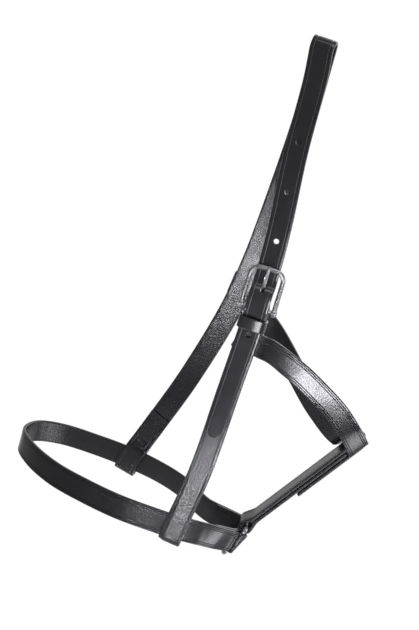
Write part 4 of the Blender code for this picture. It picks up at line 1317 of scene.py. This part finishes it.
def throat_stations():
    """Stations of the throat strap, from the near cheek to the far cheek."""
    point, out, rear, up = on_cheek(lay.near, lay.heel + THROAT_DROP, THROAT_NEAR_SLOPE)
    seat = point - out * (lay.ply + LEATHER + PLY_ROOM)
    head = [(seat - rear * STRAP_WIDTH / 2.0, up), (seat + rear * (STRAP_WIDTH * 0.62), up)]
    point, out, rear, up = on_cheek(lay.far, THROAT_FAR_DROP, THROAT_FAR_SLOPE)
    seat = point + out * (LEATHER + PLY_ROOM)
    tail = [
        (seat + rear * (STRAP_WIDTH * 0.75), up),
        (seat - rear * (STRAP_WIDTH / 2.0 + THROAT_FAR_OVERHANG), up),
    ]
    bottom, along = lay.throat_bottom, lay.jowl_along
    flat = STRAP_WIDTH / 2.0 + THROAT_SIDE_ROOM
    forward = -lay.jowl_out if lay.jowl_out.x > 0.0 else lay.jowl_out
    in_loop = [(bottom + JOWL_ACROSS * flat * share, along) for share in (-1.0, 0.0, 1.0)]
    turned = (flat + THROAT_CORNER * 0.8) * JOWL_ACROSS
    before = (bottom - turned - forward * THROAT_BULGE, Vector((0.49, 0.0, 0.87)))
    after = (bottom + turned + forward * THROAT_CORNER * 0.5, along)
    near, far = (
        [(vec(point), Vector(across)) for point, across in part]
        for part in (THROAT_NEAR, THROAT_FAR)
    )
    return blend_path(head, [*near, before, *in_loop, after, *far], tail, 2.0 * MM)


throat_bend = Bend(throat_stations(), face=1.0, passes=16)
throat = flat_strip("throat_strap_leather", throat_bend.total, BAND_CREASES)
bottom_at = np.linalg.norm(throat_bend.points - np.array(lay.throat_bottom), axis=1)
bottom_along = throat_bend.length_of(np.argmin(bottom_at))
print("throat strap", round(throat_bend.total, 4), "long")

# %% Throat strap in the loop
LIFTED_ZONE = (10.0, 21.0, 28.0, 62.0)
NARROWED_ZONE = (-16.0, -11.5, 20.0, 46.0)
THINNED_ZONE = (-20.0, -15.0, 28.0, 42.0)
THROAT_LIFT = 2.7 * MM
END_SHORTER = 3.0 * MM
END_SLANT = 5.0 * MM
THROAT_ROW = 7.8 * MM
for vert in throat.data.vertices:
    share = soft(vert.co.x, throat_bend.total - 26.0 * MM, throat_bend.total - 4.0 * MM)
    vert.co.x -= share * (END_SHORTER - END_SLANT * vert.co.y / (STRAP_WIDTH / 2.0))
    vert.co.y += THROAT_LIFT * within(vert.co.x, LIFTED_ZONE)
    past = vert.co.x - bottom_along
    vert.co.z *= 1.0 - LOOP_THINNING * within(past, THINNED_ZONE)
    pinch = LOOP_PINCH / (STRAP_WIDTH / 2.0) * within(past, NARROWED_ZONE)
    vert.co.y -= max(vert.co.y, 0.0) * pinch
set_marks(throat)
throat_bend.bend(throat)
dress(throat, "throat_strap", "halter", THROAT_FACE)
end_rows = rows(throat_bend.total, 8.0 * MM, 26.0 * MM, THROAT_ROW, (-1.0,))
sew("throat_end_thread", throat_bend, end_rows, "halter", "throat_strap")

# %% [markdown]
# ## Jowl strap
#
# Its end lies in the middle, it is folded round the ring's top bar and over the throat
# strap's edge, and its tail lies outside. Three stacked slabs would look much the same from
# the side, but not at the two folds, where one ply turns into the next.


# %% Jowl strap
def jowl_stations():
    """Stations of the jowl strap, from its middle ply to its outer ply's end."""
    pitch = lay.jowl_pitch
    half = STRAP_WIDTH / 2.0
    end = lay.jowl_length - half - JOWL_LOOP_PLAY - SEAM_GAP
    ring_side = fold(lay.jowl_fold, 0.0, lay.jowl_fold * 2.2, pitch / 2.0, end)
    view = [(along, lay.jowl_bar_out - out) for along, out in ring_side]
    over = lay.jowl_length + half + SEAM_GAP - LOOP_PINCH
    view += arc((over, 0.0), pitch, -90.0, 90.0)
    view.append((over - STRAP_WIDTH - JOWL_TAIL_LENGTH, pitch))
    root, down, outward = lay.jowl_root, lay.jowl_along, lay.jowl_out
    return [(root + down * along + outward * out, JOWL_ACROSS) for along, out in resample(view)]


JOWL_ROW = 9.4 * MM
jowl_bend = Bend(jowl_stations(), face=1.0)
jowl = flat_strip("jowl_strap_leather", jowl_bend.total, CROWN_CREASES)
set_marks(jowl)
jowl_bend.bend(jowl)
dress(jowl, "jowl_strap", "jowl", JOWL_FACE)
jowl_turn = lay.jowl_length - STRAP_WIDTH / 2.0 - JOWL_LOOP_PLAY
ring_rows = rows(jowl_turn + 5.0 * MM, 14.0 * MM, 24.0 * MM, JOWL_ROW, (1.0,))
sew("jowl_strap_thread", jowl_bend, ring_rows, "jowl", "jowl_strap")
bpy.data.objects.remove(STITCH, do_unlink=True)

# %% [markdown]
# ## Bent wire
#
# Ring and buckle are bent from round wire. They could be curves with a bevel, but the eyes
# have to be joined on and drilled, which needs a solid mesh. So a wire starts as a circle, is
# extruded along its straight runs and spun round its corners, and is then placed where the
# CAD model holds it.


# %% Bent wire
def bend_wire(name, radius, corner, half_width, lengths, closed=False):
    """A round wire in the x-y plane: straight runs with a quarter turn after each."""
    place, ahead = Vector((half_width, 0.0, 0.0)), Vector((0.0, 1.0, 0.0))
    obj = start_mesh(
        bpy.ops.mesh.primitive_circle_add,
        name,
        vertices=20,
        radius=radius,
        fill_type="NOTHING",
        location=tuple(place),
        rotation=(math.pi / 2.0, 0.0, 0.0),
    )
    settle(obj)
    mode("EDIT")
    select_all()
    for number, length in enumerate(lengths):
        if number:
            left = Vector((-ahead.y, ahead.x, 0.0))
            centre = place + left * corner
            quarter = {"steps": 10, "angle": -math.pi / 2.0, "axis": (0.0, 0.0, 1.0)}
            bpy.ops.mesh.spin(center=tuple(centre), **quarter)
            place, ahead = centre + ahead * corner, left
        run = ahead * length
        bpy.ops.mesh.extrude_region_move(TRANSFORM_OT_translate={"value": tuple(run)})
        place = place + run
    select_all()
    bpy.ops.mesh.remove_doubles(threshold=0.01 * MM)
    if not closed:
        select_all()
        bpy.ops.mesh.fill_holes(sides=0)
    select_all()
    bpy.ops.mesh.normals_make_consistent(inside=False)
    mode("OBJECT")
    print(name, "wire", [round(side, 4) for side in obj.dimensions])
    return obj


def round_bar(name, radius, length, rounding, middle=(0.0, 0.0, 0.0)):
    """A round bar along x with rounded ends."""
    obj = cylinder(name, radius, length, 32, location=middle, rotation=(0.0, math.pi / 2.0, 0.0))
    settle(obj)
    if rounding:
        round_edges(obj, rounding, segments=4, sharper_than=60.0)
    return obj


def placed(origin, across, rise, out):
    """The place of an object whose x, y and z point across, along the rise and outward."""
    place = Matrix((across, rise, out)).transposed().to_4x4()
    place.translation = origin
    return place


def put(obj, origin, across, rise):
    """Places a piece made in x (across) and y (rise) at its place on the halter."""
    obj.matrix_world = placed(origin, across, rise, across.cross(rise).normalized())
    settle(obj)


METAL_ANGLE = 35.0

# %% [markdown]
# ## Ring
#
# The jaw ring is a rounded rectangle with no end, so its two wire ends meet in the middle of
# a side bar and are welded there by merging their doubles.

# %% Ring
ring_side = lay.ring_half_height - RING_CORNER
ring_bar = 2.0 * (lay.ring_half_width - RING_CORNER)
ring_runs = [ring_side, ring_bar, 2.0 * ring_side, ring_bar, ring_side]
ring = bend_wire(
    "jaw_ring_wire", RING_WIRE / 2.0, RING_CORNER, lay.ring_half_width, ring_runs, closed=True
)
put(ring, RING_CENTRE, RING_ACROSS, lay.ring_up)
dress(ring, "jaw_ring", "ring", NICKEL, METAL_ANGLE)

# %% [markdown]
# ## Buckle frame
#
# A bow of wire whose two ends are flattened into eyes that hold the heel bar. The wire's
# ends could be scaled flat in edit mode, but the rims would come out uneven, so each eye is
# a short rounded cylinder joined on by a Boolean, and both are drilled at once, in line.

# %% Buckle frame
EYE_ROUNDING = 0.9 * MM
bow_half = STRAP_WIDTH / 2.0 + BUCKLE_SIDE_ROOM + BUCKLE_WIRE / 2.0
bow_side = BUCKLE_HEIGHT - BUCKLE_CORNER
bow_runs = [bow_side, 2.0 * (bow_half - BUCKLE_CORNER), bow_side]
bow = bend_wire("buckle_frame_wire", BUCKLE_WIRE / 2.0, BUCKLE_CORNER, bow_half, bow_runs)
eyes = [
    round_bar("eye", EYE_RADIUS, BUCKLE_WIRE, EYE_ROUNDING, (side * bow_half, 0.0, 0.0))
    for side in (-1.0, 1.0)
]
combine(bow, "UNION", eyes)
drill_length = 2.0 * bow_half + 4.0 * BUCKLE_WIRE
drill = round_bar("bar_drill", BAR_DIAMETER / 2.0 + PIVOT_GAP, drill_length, 0.0)
combine(bow, "DIFFERENCE", [drill])
put(bow, lay.heel_point, lay.heel_across, lay.frame_up)
dress(bow, "buckle_frame", "buckle", NICKEL, METAL_ANGLE)

# %% [markdown]
# ## Heel bar
#
# A pin through both eyes, with rounded ends that stand a little proud. The bevel modifier
# rounds only edges sharper than 60 degrees, so it finds the two ends and leaves the round
# side alone.

# %% Heel bar
bar_length = 2.0 * (bow_half + BUCKLE_WIRE / 2.0 + BAR_END)
bar = round_bar("buckle_bar_pin", BAR_DIAMETER / 2.0, bar_length, BAR_END * 0.7)
put(bar, lay.heel_point, lay.heel_across, lay.frame_up)
dress(bar, "buckle_bar", "buckle", NICKEL, METAL_ANGLE)

# %% [markdown]
# ## Prong
#
# A flat tongue of metal, wrapped round the heel bar at one end and tapered at the other, that
# comes up through the billet's pulled hole and lies over the top bar. Because it is a bent
# strip, it is made as the straps are, only narrower and without creases.


# %% Prong
def prong_stations():
    """Stations of the prong, from its eye round the bar to its tip over the top bar."""
    eye = BAR_DIAMETER / 2.0 + PIVOT_GAP + PRONG_THICKNESS / 2.0
    hole_out = (lay.behind_bar + lay.billet_over_bar) / 2.0
    rest_out = lay.top_bar_out + (BUCKLE_WIRE + PRONG_THICKNESS) / 2.0 + SEAM_GAP
    rise, top = PRONG_HOLE_RISE, lay.top_bar_rise
    outline = arc((0.0, 0.0), eye, PRONG_WRAPPED_TO, PRONG_LEAVES_AT)
    tongue = [
        outline[-1],
        (hole_out * 0.16, rise * 0.60),
        (hole_out, rise),
        (hole_out * 0.36 + rest_out * 0.64, rise * 0.62 + top * 0.38),
        (rest_out, top - PRONG_THICKNESS),
        (rest_out, top + PRONG_THICKNESS * 0.4),
        (rest_out - PRONG_THICKNESS * 0.3, top + PRONG_TIP),
    ]
    curve = smooth_curve([Vector((*place, 0.0)) for place in tongue], 1.0 * MM)
    outline += [(point.x, point.y) for point in curve[1:]]
    point, outward, up = lay.heel_point, lay.heel_out, lay.heel_up
    return [(point + outward * out + up * high, lay.heel_across) for out, high in outline]


prong_bend = Bend(prong_stations(), face=1.0, passes=1)
prong = flat_strip(
    "buckle_prong_tongue",
    prong_bend.total,
    width=PRONG_WIDTH,
    thickness=PRONG_THICKNESS,
    rounding=PRONG_THICKNESS * 0.42,
    step=0.7 * MM,
)
tip_start = prong_bend.total - 3.0 * MM
taper(
    prong,
    lambda co: co.x > tip_start,
    lambda co: 1.0 - 0.45 * soft(co.x, tip_start, prong_bend.total),
)
prong_bend.bend(prong)
dress(prong, "buckle_prong", "prong", NICKEL, METAL_ANGLE)

# %% [markdown]
# ## Backdrop
#
# The halter hangs in front of plain white. A white wall behind it would also light its rear,
# so the world is white only for rays that come from the camera, and for mirrored rays that
# go past the halter to the rear, which gives the leather's edges their pale rim. The floor
# below glows in the same way.


# %% World
def shows_white(nodes, behind):
    """1 for rays from the camera, and for mirrored rays where a mask allows it."""
    rays = nodes.add("ShaderNodeLightPath").outputs
    seen = nodes.math("MAXIMUM", rays["Is Camera Ray"], rays["Is Transmission Ray"])
    return nodes.math("MAXIMUM", seen, nodes.math("MULTIPLY", rays["Is Glossy Ray"], behind))


ROOM_LIGHT = 0.34
scene = bpy.context.scene
scene.view_settings.view_transform = "Standard"
world = bpy.data.worlds.new("studio")
scene.world = world
world.use_nodes = True
world.node_tree.nodes.clear()
sky = Nodes(world.node_tree)
place = sky.add("ShaderNodeTexCoord").outputs["Generated"]
facing = sky.add("ShaderNodeSeparateXYZ", {0: place}).outputs
rear = sky.math("MULTIPLY_ADD", facing["X"], 0.35, facing["Y"])
seen = shows_white(sky, sky.ramp(rear, 0.1, 0.7))
strength = sky.math("MULTIPLY_ADD", seen, 1.0 - ROOM_LIGHT, ROOM_LIGHT)
shade = sky.add("ShaderNodeBackground", {"Color": (1.0, 1.0, 1.0, 1.0), "Strength": strength})
sky.add("ShaderNodeOutputWorld", {"Surface": shade.outputs[0]})
print("room light", ROOM_LIGHT)

# %% [markdown]
# ## Camera
#
# The photograph looks at the near side from a little above and a little towards the jaw, and
# the halter hangs tilted in it. The camera could be turned by hand until the picture fits,
# but a direction, a distance and a roll say plainly what was fitted.

# %% Camera
TARGET = Vector((-10.5, -95.2, -249.9)) * MM
DISTANCE = 1.575
AZIMUTH = 12.0
ELEVATION = 20.0
ROLL = math.radians(16.5)


def toward(azimuth, elevation):
    """Direction away from the halter at an azimuth and an elevation in degrees."""
    turn, rise = math.radians(azimuth), math.radians(elevation)
    return Vector((math.sin(turn) * math.cos(rise), -math.cos(turn) * math.cos(rise), math.sin(rise)))


right = toward(AZIMUTH + 90.0, 0.0)
back = toward(AZIMUTH, ELEVATION)
up = back.cross(right)
camera_right = right * math.cos(ROLL) + up * math.sin(ROLL)
camera_up = up * math.cos(ROLL) - right * math.sin(ROLL)
camera_data = bpy.data.cameras.new("camera")
camera_data.lens = 100.0
camera_data.sensor_width = 36.0
camera_data.clip_start = 0.05
camera = bpy.data.objects.new("camera", camera_data)
scene.collection.objects.link(camera)
camera.matrix_world = placed(TARGET + back * DISTANCE, camera_right, camera_up, back)
scene.camera = camera
print("camera at", [round(value, 3) for value in camera.matrix_world.translation])

# %% [markdown]
# ## Lamps
#
# Black leather shows mostly what it mirrors. One big soft lamp would grey all of it, so
# five narrow lamps are each aimed at a strap that has a highlight in the photograph, and
# three wide ones beside, above and behind draw the pale rims.

# %% Lamps
LAMP_COLOUR = (0.95, 0.94, 1.0)
LAMPS = [
    # name, aim in mm, azimuth, elevation, distance, size, power, spread
    ("key_light", (95.0, -25.0, -310.0), 17.0, -3.5, 1.0, 0.22, 0.22, 30.0),
    ("low_light", (-14.0, 30.0, -238.0), -14.0, -28.0, 1.3, 0.10, 0.013, 8.0),
    ("cheek_light", (14.0, -54.0, -478.0), 14.0, -2.0, 1.2, 0.16, 0.075, 7.0),
    ("side_light", (40.0, -45.0, -480.0), 70.0, -24.0, 1.1, 0.34, 0.075, 24.0),
    ("floor_light", (100.0, -20.0, -340.0), 45.0, -38.0, 1.2, 0.50, 0.28, 30.0),
    ("rim_light", (20.0, -20.0, -300.0), 108.0, 4.0, 1.2, 0.60, 5.0, 180.0),
    ("top_light", (0.0, 0.0, -250.0), 30.0, 70.0, 1.4, 0.8, 6.0, 180.0),
    ("back_light", (0.0, 0.0, -250.0), 170.0, 25.0, 1.5, 0.9, 6.0, 180.0),
]
for name, middle, azimuth, elevation, distance, size, power, spread in LAMPS:
    lamp = bpy.data.lights.new(name, "AREA")
    lamp.shape = "SQUARE"
    lamp.size = size
    lamp.energy = power
    lamp.color = LAMP_COLOUR
    lamp.spread = math.radians(spread)
    box = bpy.data.objects.new(name, lamp)
    aim = toward(azimuth, elevation)
    turned = aim.to_track_quat("Z", "Y").to_matrix().to_4x4()
    box.matrix_world = Matrix.Translation(vec(middle) + aim * distance) @ turned
    scene.collection.objects.link(box)
print("lamps", len(LAMPS))

# %% [markdown]
# ## Floor
#
# A pale floor 1 m below the noseband. The photograph shows none, so it lies outside the
# shadow's reach, and it is a plain plane, because nothing stands on it.

# %% Floor
FLOOR_PLACE = (0.0, 0.0, -1.5)
floor = start_mesh(bpy.ops.mesh.primitive_plane_add, "floor", size=3.0, location=FLOOR_PLACE)
paper, sheet, shader = material("pale_floor")
spot = sheet.add("ShaderNodeTexCoord").outputs["Object"]
spot = sheet.add("ShaderNodeSeparateXYZ", {0: spot}).outputs
glow = shows_white(sheet, sheet.ramp(spot["Y"], 0.2, 0.9, 0.2, 1.0))
white = {"Base Color": (0.86, 0.86, 0.86, 1.0), "Emission Color": (1.0, 1.0, 1.0, 1.0)}
sheet.fill(shader, {**white, "Roughness": 0.9, "Emission Strength": glow})
floor.data.materials.append(paper)
print("floor", [round(side, 2) for side in floor.dimensions])
